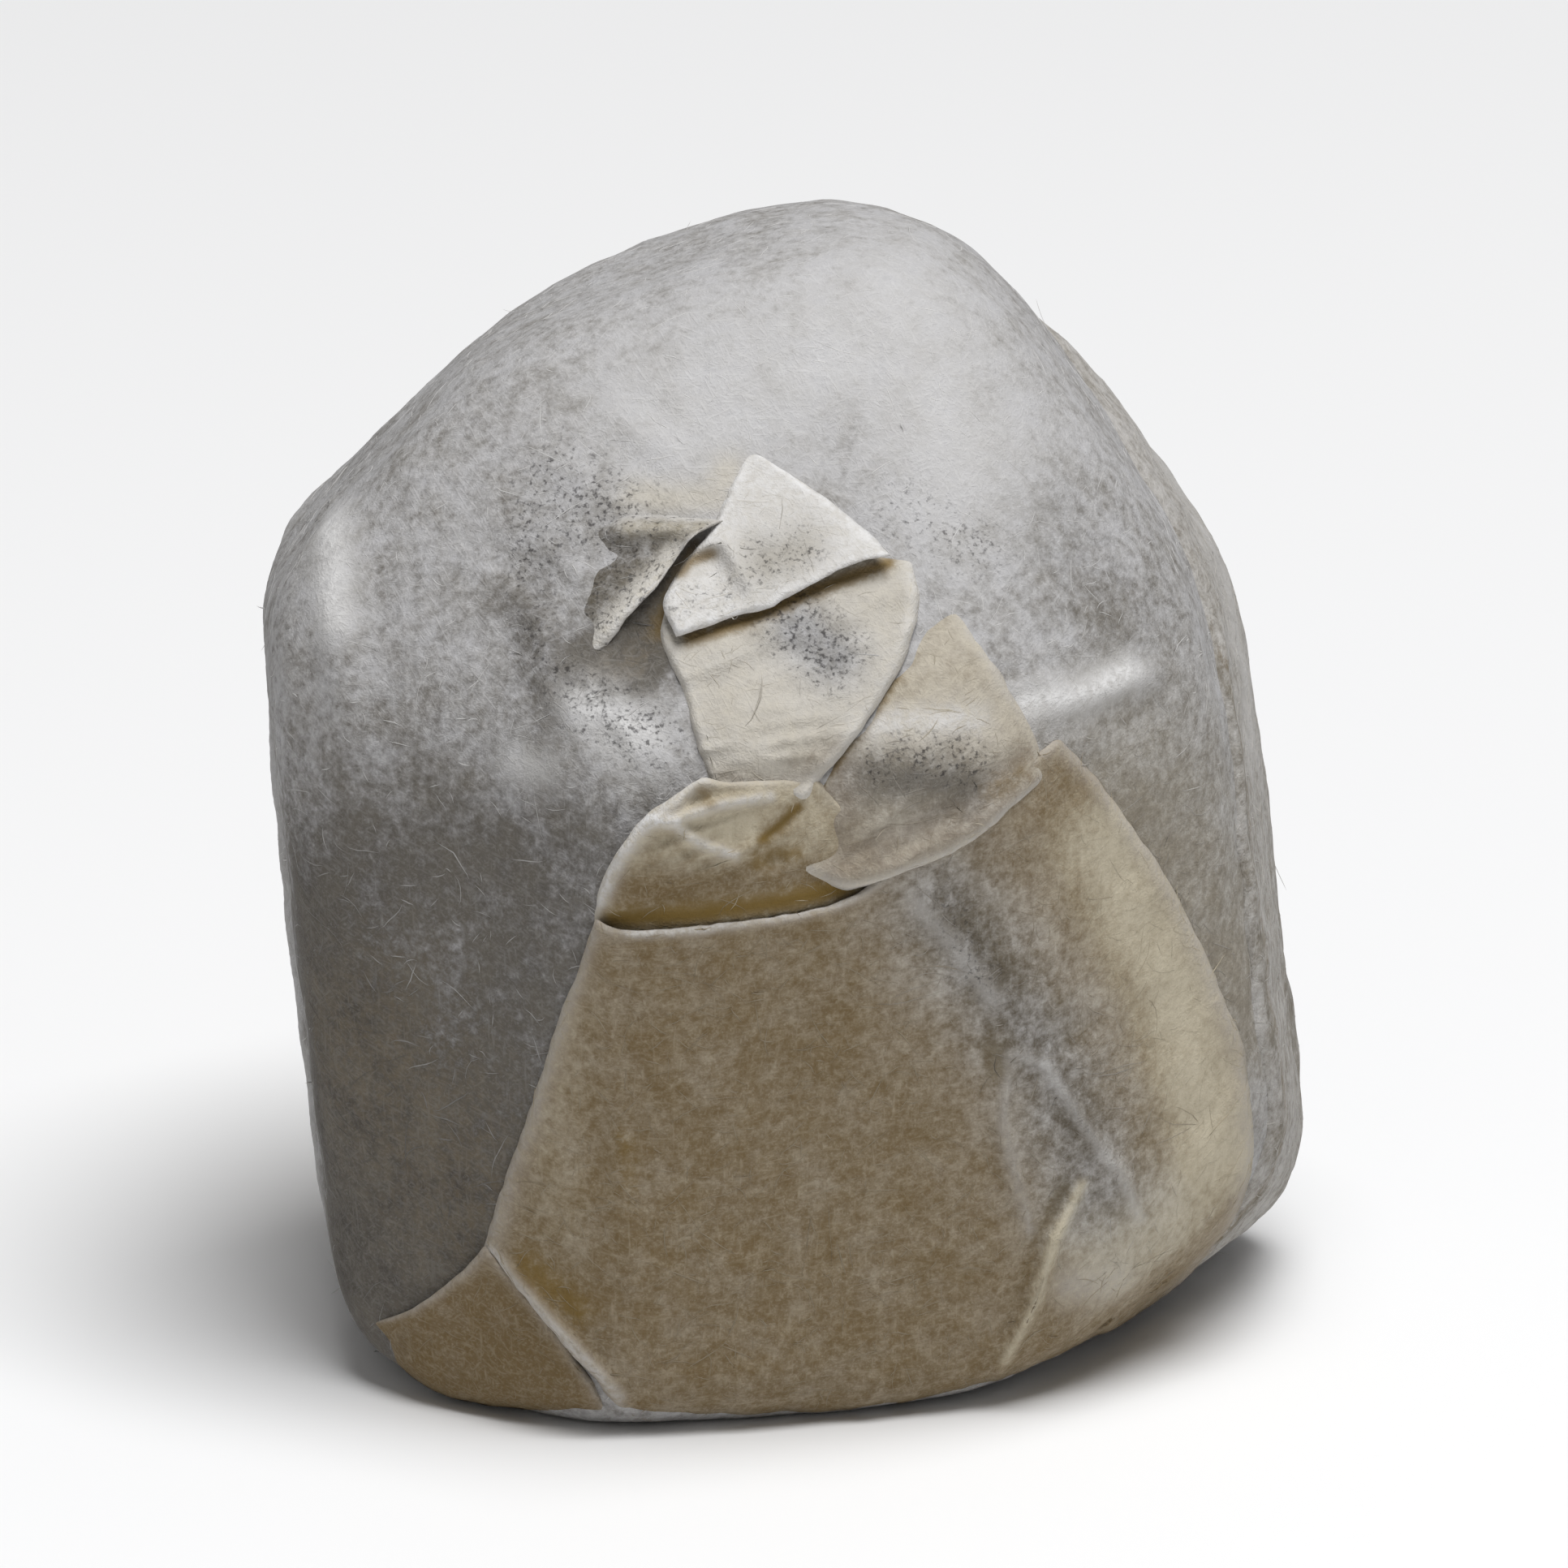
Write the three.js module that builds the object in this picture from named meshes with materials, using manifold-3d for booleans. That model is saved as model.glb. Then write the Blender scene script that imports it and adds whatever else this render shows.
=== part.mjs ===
// One serving of pu erh tea: a pressed lump of tea shut in a single square of thin fibrous paper.
// Millimetres, +Z up. The origin is the middle of the foot. The front, with the twisted end of the
// paper, faces -Y. The wrapper is drawn tight over the lump, so the body is a rounded polyhedron of
// flat paper facets, and the folded-over corners of the paper lie on it as thin layers.
import * as THREE from "three";
import { mergeVertices } from "three/addons/utils/BufferGeometryUtils.js";
import Module from "manifold-3d";

const wasm = await Module();
wasm.setup();

// Driving dimensions.
const MIDDLE_HEIGHT = 16.5; // height of the point that the facets are measured from
const ROUNDING = 0.7; // how softly one facet turns into the next
const PAPER = 0.32; // a folded-over layer of paper with the air under it
const SUNK = 0.9; // how far a layer's hidden side lies inside the lump
const BODY_RINGS = 30; // rows of faces from crown to foot
const FLAP_STEP = 1.25; // size of a flap's faces
const RIM = 0.45; // width of the turned-down rim of a flap
const RIM_DROP = 0.16; // how far that rim turns down
const RISE_WIDTH = 1.5; // how far in from a raised side the layer lies flat again
const CREASE_FOOT = 0.12; // how far the feet of a crease lie below its layer
const SHIFT_BACK = 0.8; // brings the middle of the outline over the origin
const FOOT_PRESS = 0.12; // how much of the rounded foot is pressed flat

const MIDDLE = new THREE.Vector3(0, 0, MIDDLE_HEIGHT);

// The flat facets of the drawn paper: azimuth from the front towards the right and elevation of
// the outward normal in degrees, and distance from the middle.
const FACETS = {
  crown: [181, 88, 17.0],
  crown_left: [-97, 73, 15.8],
  crown_right: [74, 59, 16.6],
  shoulder_left: [-97, 42, 15.4],
  shoulder_right: [94, 34, 13.7],
  shoulder_front: [2, 40, 13.8],
  shoulder_front_left: [-27, 33, 15.1],
  shoulder_front_right: [44, 32, 14.5],
  shoulder_back: [180, 40, 14.5],
  shoulder_back_left: [-135, 42, 14.8],
  shoulder_back_right: [135, 40, 14.4],
  side_left: [-88, -6, 14.6],
  side_right: [87, 7, 13.3],
  front: [13, -9, 13.3],
  front_left: [-32, -5, 14.7],
  front_right: [45, -1, 13.4],
  back: [180, -6, 13.6],
  back_left: [-135, -4, 13.8],
  back_right: [135, 2, 13.8],
  under_left: [-78, -52, 20.9],
  under_right: [64, -40, 18.1],
  foot: [0, -90, MIDDLE_HEIGHT + FOOT_PRESS],
};

// The sides that folds are measured from: azimuth and elevation of the eye in degrees. A point on
// a fold is [right, up] in that view, from the middle of the foot.
const VIEWS = {
  front: view(0, 18),
  right: view(120, 5),
  back: view(185, 10),
  left: view(-95, 5),
};

function direction(azimuth, elevation) {
  const a = THREE.MathUtils.degToRad(azimuth);
  const e = THREE.MathUtils.degToRad(elevation);
  return new THREE.Vector3(
    Math.sin(a) * Math.cos(e),
    -Math.cos(a) * Math.cos(e),
    Math.sin(e),
  );
}

function view(azimuth, elevation) {
  const eye = direction(azimuth, elevation);
  const right = direction(azimuth + 90, 0);
  return { eye, right, up: eye.clone().cross(right) };
}

const PLANES = Object.values(FACETS).map(([azimuth, elevation, distance]) => {
  const normal = direction(azimuth, elevation);
  return { normal, reach: distance + normal.dot(MIDDLE) };
});

// How far a point lies outside the rounded polyhedron (negative inside), and the way out.
function outside(point) {
  const gaps = PLANES.map(({ normal, reach }) => normal.dot(point) - reach);
  const most = Math.max(...gaps);
  const shares = gaps.map((gap) => Math.exp((gap - most) / ROUNDING));
  const sum = shares.reduce((a, b) => a + b, 0);
  return { gap: most + ROUNDING * Math.log(sum), shares };
}

function outward(point) {
  const { shares } = outside(point);
  const way = new THREE.Vector3();
  PLANES.forEach(({ normal }, i) => way.addScaledVector(normal, shares[i]));
  return way.normalize();
}

// Where a ray from a point inside the body comes to a height above its surface.
function reach(from, way, height = 0) {
  let near = 0;
  let far = 60;
  for (let i = 0; i < 40; i++) {
    const t = (near + far) / 2;
    if (outside(from.clone().addScaledVector(way, t)).gap < height) near = t;
    else far = t;
  }
  return from.clone().addScaledVector(way, near);
}

// The deepest point of the body on the sight line through [x, up] of a view.
function deepest({ eye, right, up }, [x, s]) {
  const start = right.clone().multiplyScalar(x).addScaledVector(up, s);
  const at = (t) => start.clone().addScaledVector(eye, t);
  let near = -40;
  let far = 40;
  for (let i = 0; i < 60; i++) {
    const a = near + (far - near) / 3;
    const b = far - (far - near) / 3;
    if (outside(at(a)).gap < outside(at(b)).gap) far = b;
    else near = a;
  }
  return at((near + far) / 2);
}

// The point at a height above the body's surface that a view shows at [x, up], or the nearest to it.
function shown(eyes, spot, height) {
  const inner = deepest(eyes, spot);
  const { gap } = outside(inner);
  if (gap < height) return reach(inner, eyes.eye, height);
  return inner.addScaledVector(outward(inner), height - gap);
}

// A line through some points, read by its share of length.
function line(points) {
  const lengths = [0];
  points.slice(1).forEach(([x, y], i) => {
    const step = Math.hypot(x - points[i][0], y - points[i][1]);
    lengths.push(lengths[i] + step);
  });
  const whole = lengths.at(-1);
  const at = (share) => {
    if (whole === 0) return points[0];
    const want = share * whole;
    let i = 0;
    while (i < points.length - 2 && lengths[i + 1] < want) i++;
    const span = lengths[i + 1] - lengths[i] || 1;
    const t = (want - lengths[i]) / span;
    const [[x0, y0], [x1, y1]] = [points[i], points[i + 1]];
    return [x0 + (x1 - x0) * t, y0 + (y1 - y0) * t];
  };
  return { at, whole };
}

// A side that runs on into the sheet sinks below the body there.
const MERGED = -0.75;

// The layers of paper, as four-sided outlines in a view. left and right run upwards, bottom and top
// run to the right. level counts the layers below, as one number or as those at bottom and top. rise
// says how far each side stands off its level, as one height or as those at its start and its end.
const FLAPS = {
  front_flap: {
    seen: "front",
    level: 1,
    left: [[-4.2, -3.7], [-6.0, -1.4], [-6.9, -0.3], [-8.7, 1.8], [-7.8, 4.4], [-5.4, 11.3]],
    top: [[-5.4, 11.3], [-4.6, 10.9], [-2.8, 11.0], [0.1, 11.4], [2.0, 11.9], [5.4, 13.4], [7.9, 16.5]],
    right: [[9.2, -1.9], [13.2, 2.6], [13.4, 6.9], [11.7, 11.2], [9.8, 14.3], [7.9, 16.5]],
    bottom: [[-4.2, -3.7], [2.4, -3.7], [9.2, -1.9]],
    rise: { left: [0, 0.2], top: [0.5, 0], right: [0.1, 0], bottom: MERGED },
  },
  corner_flap: {
    seen: "front",
    level: 1,
    left: [[-12.2, -2.0], [-12.9, -0.7]],
    top: [[-12.9, -0.7], [-11.3, -0.2], [-9.9, 0.6], [-8.6, 1.9]],
    right: [[-4.4, -4.0], [-6.7, -0.3], [-8.6, 1.9]],
    bottom: [[-12.2, -2.0], [-8.6, -3.6], [-4.4, -4.0]],
    rise: { left: MERGED, top: [0.1, 0.2], right: 0, bottom: MERGED },
  },
  collar: {
    seen: "front",
    level: [0.4, 1.6],
    left: [[-5.4, 10.4], [-5.4, 12.0], [-5.0, 12.9], [-4.3, 13.9], [-3.3, 14.5], [-2.4, 15.1]],
    top: [[-2.4, 15.1], [-1.6, 15.0], [0.9, 15.4]],
    right: [[2.6, 11.0], [1.6, 13.3], [0.9, 15.4]],
    bottom: [[-5.4, 10.4], [-2.8, 10.0], [0.9, 10.5], [2.6, 11.0]],
    rise: { left: [0.1, 0.4], top: 0.1, right: -0.2, bottom: 0 },
  },
  shoulder: {
    seen: "front",
    level: [2, 0.8],
    left: [[1.3, 11.7], [0.1, 13.2], [1.2, 15.8], [2.4, 18.6], [3.9, 21.2]],
    top: [[3.9, 21.2], [4.3, 20.9], [4.8, 20.4]],
    right: [[7.6, 15.4], [7.2, 16.7], [6.2, 18.4], [4.8, 20.4]],
    bottom: [[1.3, 11.7], [2.5, 11.9], [4.0, 12.6], [5.6, 13.6], [7.6, 15.4]],
    rise: { left: -0.4, top: -0.1, right: [-0.2, 0], bottom: [0.2, 0.1] },
  },
  twist: {
    seen: "front",
    level: [2.8, 2],
    left: [[-2.0, 14.4], [-2.4, 15.9], [-2.9, 18.0], [-3.4, 19.3], [-3.5, 20.4]],
    top: [[-3.5, 20.4], [-0.7, 21.0], [1.5, 21.7], [3.7, 21.6]],
    right: [[0.4, 14.0], [1.9, 15.8], [3.2, 18.1], [4.0, 20.3], [3.7, 21.6]],
    bottom: [[-2.0, 14.4], [-0.9, 13.7], [0.4, 14.0]],
    rise: { left: [0, 0.3], top: -0.3, right: [-0.1, 0.25], bottom: -0.4 },
  },
  upper_panel: {
    seen: "front",
    level: [3, 0.1],
    left: [[-3.2, 19.3], [-3.4, 20.4], [-2.5, 21.8], [-1.7, 23.2], [-1.0, 24.8]],
    top: [[-1.0, 24.8], [-1.0, 24.8]],
    right: [[3.2, 21.6], [2.3, 22.4], [0.7, 23.6], [-1.0, 24.8]],
    bottom: [[-3.2, 19.3], [-0.7, 20.0], [0.9, 20.8], [3.2, 21.6]],
    rise: { left: [0.1, 0], top: 0, right: [0, 0], bottom: [0.15, 0.35] },
  },
  wing: {
    seen: "front",
    level: [2, 0.2],
    left: [[-5.8, 18.4], [-6.9, 20.2], [-6.4, 22.4]],
    top: [[-6.4, 22.4], [-4.2, 22.9], [-1.7, 22.7]],
    right: [[-2.9, 22.0], [-2.4, 22.4], [-1.7, 22.7]],
    bottom: [[-5.8, 18.4], [-5.2, 19.0], [-4.4, 20.0], [-3.5, 21.1], [-2.9, 22.0]],
    rise: { left: -0.6, top: [-0.1, 0.1], right: 0.2, bottom: [0, 0.6] },
  },
  side_wrap: {
    seen: "right",
    level: 1,
    left: [[-7.8, -0.6], [-10.0, 6.0], [-10.4, 13.0], [-9.4, 20.0]],
    top: [[-9.4, 20.0], [-5.0, 27.0], [3.0, 31.0], [9.6, 29.0]],
    right: [[1.0, -1.4], [6.5, 11.0], [9.2, 20.0], [9.6, 29.0]],
    bottom: [[-7.8, -0.6], [-4.0, -1.4], [1.0, -1.4]],
    rise: { left: 0, top: MERGED, right: [0.2, 0.5], bottom: MERGED },
  },
  back_flap: {
    seen: "back",
    level: 1,
    left: [[-6.7, -2.4], [2.2, 9.0], [8.5, 17.2]],
    top: [[8.5, 17.2], [9.8, 22.0], [10.4, 27.0]],
    right: [[11.0, -1.0], [13.6, 12.0], [13.8, 20.0], [10.4, 27.0]],
    bottom: [[-6.7, -2.4], [4.0, -2.6], [11.0, -1.0]],
    rise: { left: [0, 0.25], top: [0.1, -0.6], right: MERGED, bottom: MERGED },
  },
  back_pleat: {
    seen: "back",
    level: 2,
    left: [[-2.7, -2.5], [4.8, 7.8], [9.9, 14.9]],
    top: [[9.9, 14.9], [10.2, 15.6], [10.7, 16.2]],
    right: [[10.6, -1.2], [12.4, 9.0], [10.7, 16.2]],
    bottom: [[-2.7, -2.5], [4.0, -2.5], [10.6, -1.2]],
    rise: { left: [0, 0.25], top: 0, right: -1.1, bottom: -1.1 },
  },
  crown_fold: {
    seen: "back",
    level: 1,
    left: [[-5.2, 21.0], [-2.8, 26.0], [-1.0, 29.8]],
    top: [[-1.0, 29.8], [1.8, 30.4], [4.4, 29.4]],
    right: [[-1.8, 20.8], [2.4, 25.2], [4.4, 29.4]],
    bottom: [[-5.2, 21.0], [-3.6, 20.4], [-1.8, 20.8]],
    rise: { left: [0.3, 0.1], top: MERGED, right: MERGED, bottom: MERGED },
  },
};

// The creases that stand up from a layer, as lines in a view, with their width and height.
const CREASES = {
  ear: {
    seen: "front", level: 0, width: 1.8, height: 0.4,
    points: [[-13.1, 23.2], [-12.8, 19.8], [-12.5, 15.6]],
  },
  right_shoulder: {
    seen: "front", level: 0, width: 1.8, height: 0.35,
    points: [[6.9, 17.5], [8.4, 17.7], [11.2, 18.5]],
  },
  low_right: {
    seen: "front", level: 1, width: 1.9, height: 0.4,
    points: [[8.6, 3.6], [7.8, 2.0], [7.2, 0.0], [6.2, -1.9]],
  },
  fan_right: {
    seen: "front", level: 1, width: 1.5, height: 0.28,
    points: [[7.5, 7.1], [8.5, 5.5], [10.3, 2.6]],
  },
  fan_left: {
    seen: "front", level: 1, width: 1.5, height: 0.25,
    points: [[6.4, 7.4], [6.3, 5.3], [7.1, 2.3]],
  },
  corner: {
    seen: "front", level: 1, width: 1.5, height: 0.35,
    points: [[-8.5, 1.7], [-6.8, -0.3], [-4.7, -2.5]],
  },
  lip: {
    seen: "front", level: 2, width: 1.0, height: 0.3,
    points: [[1.8, 12.1], [3.3, 12.6], [5.4, 13.8], [7.3, 15.4]],
  },
  knot: {
    seen: "front", level: 1.6, width: 1.1, height: 0.5,
    points: [[-3.2, 13.6], [-1.6, 12.9], [-0.7, 13.3], [0.9, 14.6]],
  },
  collar_edge: {
    seen: "front", level: 1.2, width: 1.1, height: 0.45,
    points: [[-5.2, 11.6], [-4.6, 13.0], [-3.6, 14.1], [-2.4, 14.9]],
  },
  wing_fold: {
    seen: "front", level: 0.6, width: 1.0, height: 0.45,
    points: [[-5.6, 22.4], [-4.2, 22.6], [-2.8, 22.4], [-1.9, 21.9], [-1.1, 21.1]],
  },
  left_wrap: {
    seen: "left", level: 0, width: 2.0, height: 0.4,
    points: [[6.5, 1.8], [2.6, 9.0], [-3.5, 18.0], [-6.4, 24.0]],
  },
};

// The parts of the foot that the folded-over corners of the paper leave open, as [right, back].
const FOOT_GAPS = [
  [[-8.6, 0.6], [0.9, 1.9], [-7.0, 7.2]],
  [[1.8, 0.8], [8.6, -3.6], [9.4, 4.6]],
];
const FOOT_GAP_DEPTH = 0.25;

// A closed thin solid between an outer and an inner sheet of (rows x columns) points.
function slab(outer, inner) {
  const rows = outer.length;
  const columns = outer[0].length;
  const all = [...outer.flat(), ...inner.flat()];
  const id = (side, r, c) => side * rows * columns + r * columns + c;
  const faces = [];
  const quad = (a, b, c, d) => faces.push(a, b, c, a, c, d);
  for (let r = 0; r < rows - 1; r++)
    for (let c = 0; c < columns - 1; c++) {
      quad(id(0, r, c), id(0, r, c + 1), id(0, r + 1, c + 1), id(0, r + 1, c));
      quad(id(1, r, c), id(1, r + 1, c), id(1, r + 1, c + 1), id(1, r, c + 1));
    }
  for (let c = 0; c < columns - 1; c++) {
    quad(id(1, 0, c), id(1, 0, c + 1), id(0, 0, c + 1), id(0, 0, c));
    quad(id(0, rows - 1, c), id(0, rows - 1, c + 1), id(1, rows - 1, c + 1), id(1, rows - 1, c));
  }
  for (let r = 0; r < rows - 1; r++) {
    quad(id(0, r, 0), id(0, r + 1, 0), id(1, r + 1, 0), id(1, r, 0));
    quad(id(1, r, columns - 1), id(1, r + 1, columns - 1), id(0, r + 1, columns - 1), id(0, r, columns - 1));
  }
  return solid(all, faces);
}

// A manifold solid of a list of points and triangles, with the corners that coincide merged.
function solid(points, faces) {
  const geometry = new THREE.BufferGeometry().setFromPoints(points);
  geometry.setIndex(faces);
  const merged = mergeVertices(geometry, 1e-4);
  const kept = [];
  const index = merged.index.array;
  for (let i = 0; i < index.length; i += 3) {
    const [a, b, c] = index.slice(i, i + 3);
    if (a !== b && b !== c && c !== a) kept.push(a, b, c);
  }
  return new wasm.Manifold(
    new wasm.Mesh({
      numProp: 3,
      vertProperties: merged.attributes.position.array,
      triVerts: new Uint32Array(kept),
    }),
  );
}

// The bare lump in its drawn paper, as rings of points found from its middle.
function body() {
  const sphere = new THREE.SphereGeometry(1, 2 * BODY_RINGS, BODY_RINGS);
  sphere.rotateX(Math.PI / 2);
  const ways = sphere.attributes.position;
  const points = [];
  for (let i = 0; i < ways.count; i++) {
    const way = new THREE.Vector3().fromBufferAttribute(ways, i).normalize();
    points.push(reach(MIDDLE, way));
  }
  return solid(points, Array.from(sphere.index.array));
}

// The shares of a side at which a flap has its points: even steps, and one more close to each end.
function shares(length) {
  const steps = Math.max(2, Math.round(length / FLAP_STEP));
  const rim = Math.min(RIM / Math.max(length, RIM), 0.5 / steps);
  const even = Array.from({ length: steps - 1 }, (_, i) => (i + 1) / steps);
  return [0, rim, ...even, 1 - rim, 1];
}

// A value between the two ends of a list, or the one value that is the same all along.
function between(ends, share) {
  return Array.isArray(ends) ? ends[0] * (1 - share) + ends[1] * share : ends;
}

// How far a flap stands off its level at a distance from one of its sides, where the side's own
// share of length is given. The outermost rim turns down a little.
function lift(rise, share, distance) {
  const rim = distance < RIM / 2 ? -RIM_DROP : 0;
  return between(rise, share) * Math.exp(-((distance / RISE_WIDTH) ** 2)) + rim;
}

function mix(a, b, t) {
  return a.map((value, i) => value * (1 - t) + b[i] * t);
}

function flap({ seen, level, left, right, top, bottom, rise }) {
  const eyes = VIEWS[seen];
  const sides = { left: line(left), right: line(right), top: line(top), bottom: line(bottom) };
  const broad = Math.max(sides.top.whole, sides.bottom.whole);
  const along = Math.max(sides.left.whole, sides.right.whole);
  const outer = [];
  const inner = [];
  for (const v of shares(along)) {
    const above = [];
    const below = [];
    const wide = sides.bottom.whole * (1 - v) + sides.top.whole * v;
    for (const u of shares(broad)) {
      const across = mix(sides.left.at(v), sides.right.at(v), u);
      const upright = mix(sides.bottom.at(u), sides.top.at(u), v);
      const corners = mix(mix(left[0], right[0], u), mix(left.at(-1), right.at(-1), u), v);
      const spot = across.map((value, i) => value + upright[i] - corners[i]);
      const height =
        between(level, v) * PAPER +
        lift(rise.left, v, u * wide) +
        lift(rise.right, v, (1 - u) * wide) +
        lift(rise.bottom, u, v * along) +
        lift(rise.top, u, (1 - v) * along);
      const top = shown(eyes, spot, height);
      above.push(top);
      below.push(top.clone().addScaledVector(outward(top), -height - SUNK));
    }
    outer.push(above);
    inner.push(below);
  }
  return slab(outer, inner);
}

// A crease: a low ridge of triangular section along a line on a layer, that runs out at its ends.
function crease({ seen, level, width, height, points }) {
  const eyes = VIEWS[seen];
  const path = line(points);
  const steps = Math.max(4, Math.round(path.whole / FLAP_STEP));
  const outer = [[], [], []];
  const inner = [[], [], []];
  for (let i = 0; i <= steps; i++) {
    const t = i / steps;
    const here = shown(eyes, path.at(t), level * PAPER);
    const ahead = shown(eyes, path.at(Math.min(1, t + 0.02)), level * PAPER);
    const behind = shown(eyes, path.at(Math.max(0, t - 0.02)), level * PAPER);
    const way = outward(here);
    const across = ahead.sub(behind).normalize().cross(way).normalize();
    const fade = Math.sin(Math.PI * (0.04 + 0.92 * t)) ** 0.6;
    [1, 0, -1].forEach((side, row) => {
      const up = side === 0 ? height * fade : -CREASE_FOOT;
      const place = here.clone().addScaledVector(across, (side * width * (0.4 + 0.6 * fade)) / 2);
      outer[row].push(place.clone().addScaledVector(way, up));
      inner[row].push(place.clone().addScaledVector(way, -level * PAPER - SUNK));
    });
  }
  return slab(outer, inner);
}

function solidOf(geometry) {
  geometry.deleteAttribute("normal");
  geometry.deleteAttribute("uv");
  const merged = mergeVertices(geometry);
  return new wasm.Manifold(
    new wasm.Mesh({
      numProp: 3,
      vertProperties: merged.attributes.position.array,
      triVerts: new Uint32Array(merged.index.array),
    }),
  );
}

// What would lie below the surface that the serving stands on.
function ground() {
  const depth = 10;
  return solidOf(new THREE.BoxGeometry(80, 80, depth).translate(0, 0, -depth / 2));
}

function footGap(corners) {
  const outline = new THREE.Shape(corners.map(([x, y]) => new THREE.Vector2(x, y)));
  const gap = new THREE.ExtrudeGeometry(outline, { depth: 2 * FOOT_GAP_DEPTH, bevelEnabled: false });
  return solidOf(gap.translate(0, 0, -FOOT_GAP_DEPTH));
}

function geometryOf(shape) {
  const { vertProperties, triVerts, numProp } = shape.getMesh();
  const count = vertProperties.length / numProp;
  const position = new Float32Array(count * 3);
  for (let i = 0; i < count; i++)
    for (let k = 0; k < 3; k++) position[3 * i + k] = vertProperties[numProp * i + k];
  const geometry = new THREE.BufferGeometry();
  geometry.setAttribute("position", new THREE.BufferAttribute(position, 3));
  geometry.setIndex(new THREE.BufferAttribute(new Uint32Array(triVerts), 1));
  geometry.translate(0, SHIFT_BACK, 0);
  geometry.computeVertexNormals();
  return geometry;
}

const layers = [...Object.values(FLAPS).map(flap), ...Object.values(CREASES).map(crease)];
const folded = layers.reduce((whole, layer) => whole.add(layer), body());
const cuts = [ground(), ...FOOT_GAPS.map(footGap)];
const wrapped = cuts.reduce((whole, cut) => whole.subtract(cut), folded);

const paper = new THREE.MeshStandardMaterial({ color: 0xb5b0a4, roughness: 0.9, metalness: 0 });
const tea = new THREE.Mesh(geometryOf(wrapped), paper);
tea.name = "wrapped_tea";

const serving = new THREE.Group();
serving.add(tea);

export default serving;
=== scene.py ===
"""One serving of pu erh tea: a pressed lump of tea shut in a single square of thin fibrous paper.

The wrapper is drawn tight over the lump, so its bare skin is a rounded polyhedron of flat paper
facets. The folded-over corners of the paper lie on it as thin sheets, and loose fibres of the paper
lie on everything. Lengths are millimetres until place() turns them into metres in the frame.
"""

import itertools
import math
from collections import namedtuple

import bpy
import numpy as np
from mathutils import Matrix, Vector
from mathutils.bvhtree import BVHTree


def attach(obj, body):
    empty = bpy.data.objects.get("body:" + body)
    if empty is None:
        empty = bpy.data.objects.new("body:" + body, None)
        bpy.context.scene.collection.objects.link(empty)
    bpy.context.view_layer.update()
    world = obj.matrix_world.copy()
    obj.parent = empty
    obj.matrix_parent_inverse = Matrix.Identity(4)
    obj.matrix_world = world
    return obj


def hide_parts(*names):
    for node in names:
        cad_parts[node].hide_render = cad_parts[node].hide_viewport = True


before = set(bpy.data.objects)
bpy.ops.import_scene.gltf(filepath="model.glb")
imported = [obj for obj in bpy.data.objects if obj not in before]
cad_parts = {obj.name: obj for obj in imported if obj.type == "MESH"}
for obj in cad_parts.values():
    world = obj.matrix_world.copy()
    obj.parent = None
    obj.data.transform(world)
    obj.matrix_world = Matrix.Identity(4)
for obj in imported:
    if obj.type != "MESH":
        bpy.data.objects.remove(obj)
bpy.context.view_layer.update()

NODE = "wrapped_tea"
METRES = 0.001

# Driving dimensions.
MIDDLE = np.array([0.0, 0.0, 16.5])  # the point that the facets are measured from
ROUNDING = 0.7  # how softly one facet turns into the next
PAPER = 0.26  # a folded-over layer of paper with the air under it
SHEET = 0.07  # the paper itself
SHIFT_BACK = 0.8  # brings the middle of the outline over the origin
FOOT_PRESS = 0.12  # how much of the rounded foot is pressed flat
FOOT_GAP_DEPTH = 0.25  # how far the bare parts of the foot lie above the ground
FOOT_GAP_SLOPE = 0.3  # how far in from its sides a bare part has that depth
SKIN_CLEAR = 0.04  # how far the skin lies above the ground, so that the folds carry the weight

# The sides of the folded-over layers.
MERGED = -0.75  # a side that runs on into the sheet sinks this far below its level
RISE_WIDTH = 1.3  # how far in from a raised or sunk side a layer lies flat again
CURL_WIDTH = 0.2  # how far in from a folded side the fold begins to turn down
OPEN_RISE = 0.35  # a side that stands off this much leaves a gap under it
LEAST_CURL = 0.25  # the share of its fold that such a side keeps
RIM_WIDTH = 0.3  # how far in from a folded side the paper looks paler
# The paleness of a folded side is partly doubled paper that hides the tea and partly a painted highlight
# where the fold catches the light.
RIM_PALENESS_AND_HIGHLIGHT = 0.4

# The unevenness of the paper, as heights and sizes.
TEA_BUMPS = ((0.08, 3.1), (0.06, 1.3), (0.022, 0.6))
LAYER_BUMPS = (0.045, 0.9)
EDGE_DRIFT = (0.07, 1.1)
EDGE_FRAY = (0.025, 0.3)
GATHER_STRETCH = 5  # how much longer than broad a pleat is

# The fineness of the meshes.
SKIN_STEPS = 110  # faces along each of the six sheets of the skin
FRONT_STEP = 0.12  # size of the faces of a flap that shows in front
OTHER_STEP = 0.2  # the same for the other flaps
LEAST_STEPS = 6

# The search for points on the polyhedron.
BEYOND = 60.0  # farther than any point of the serving
NEWTON_STEPS = 14
SEARCH_REACH = 40.0  # how far before and behind the middle a line of sight is searched
SEARCH_STEPS = 32

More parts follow.
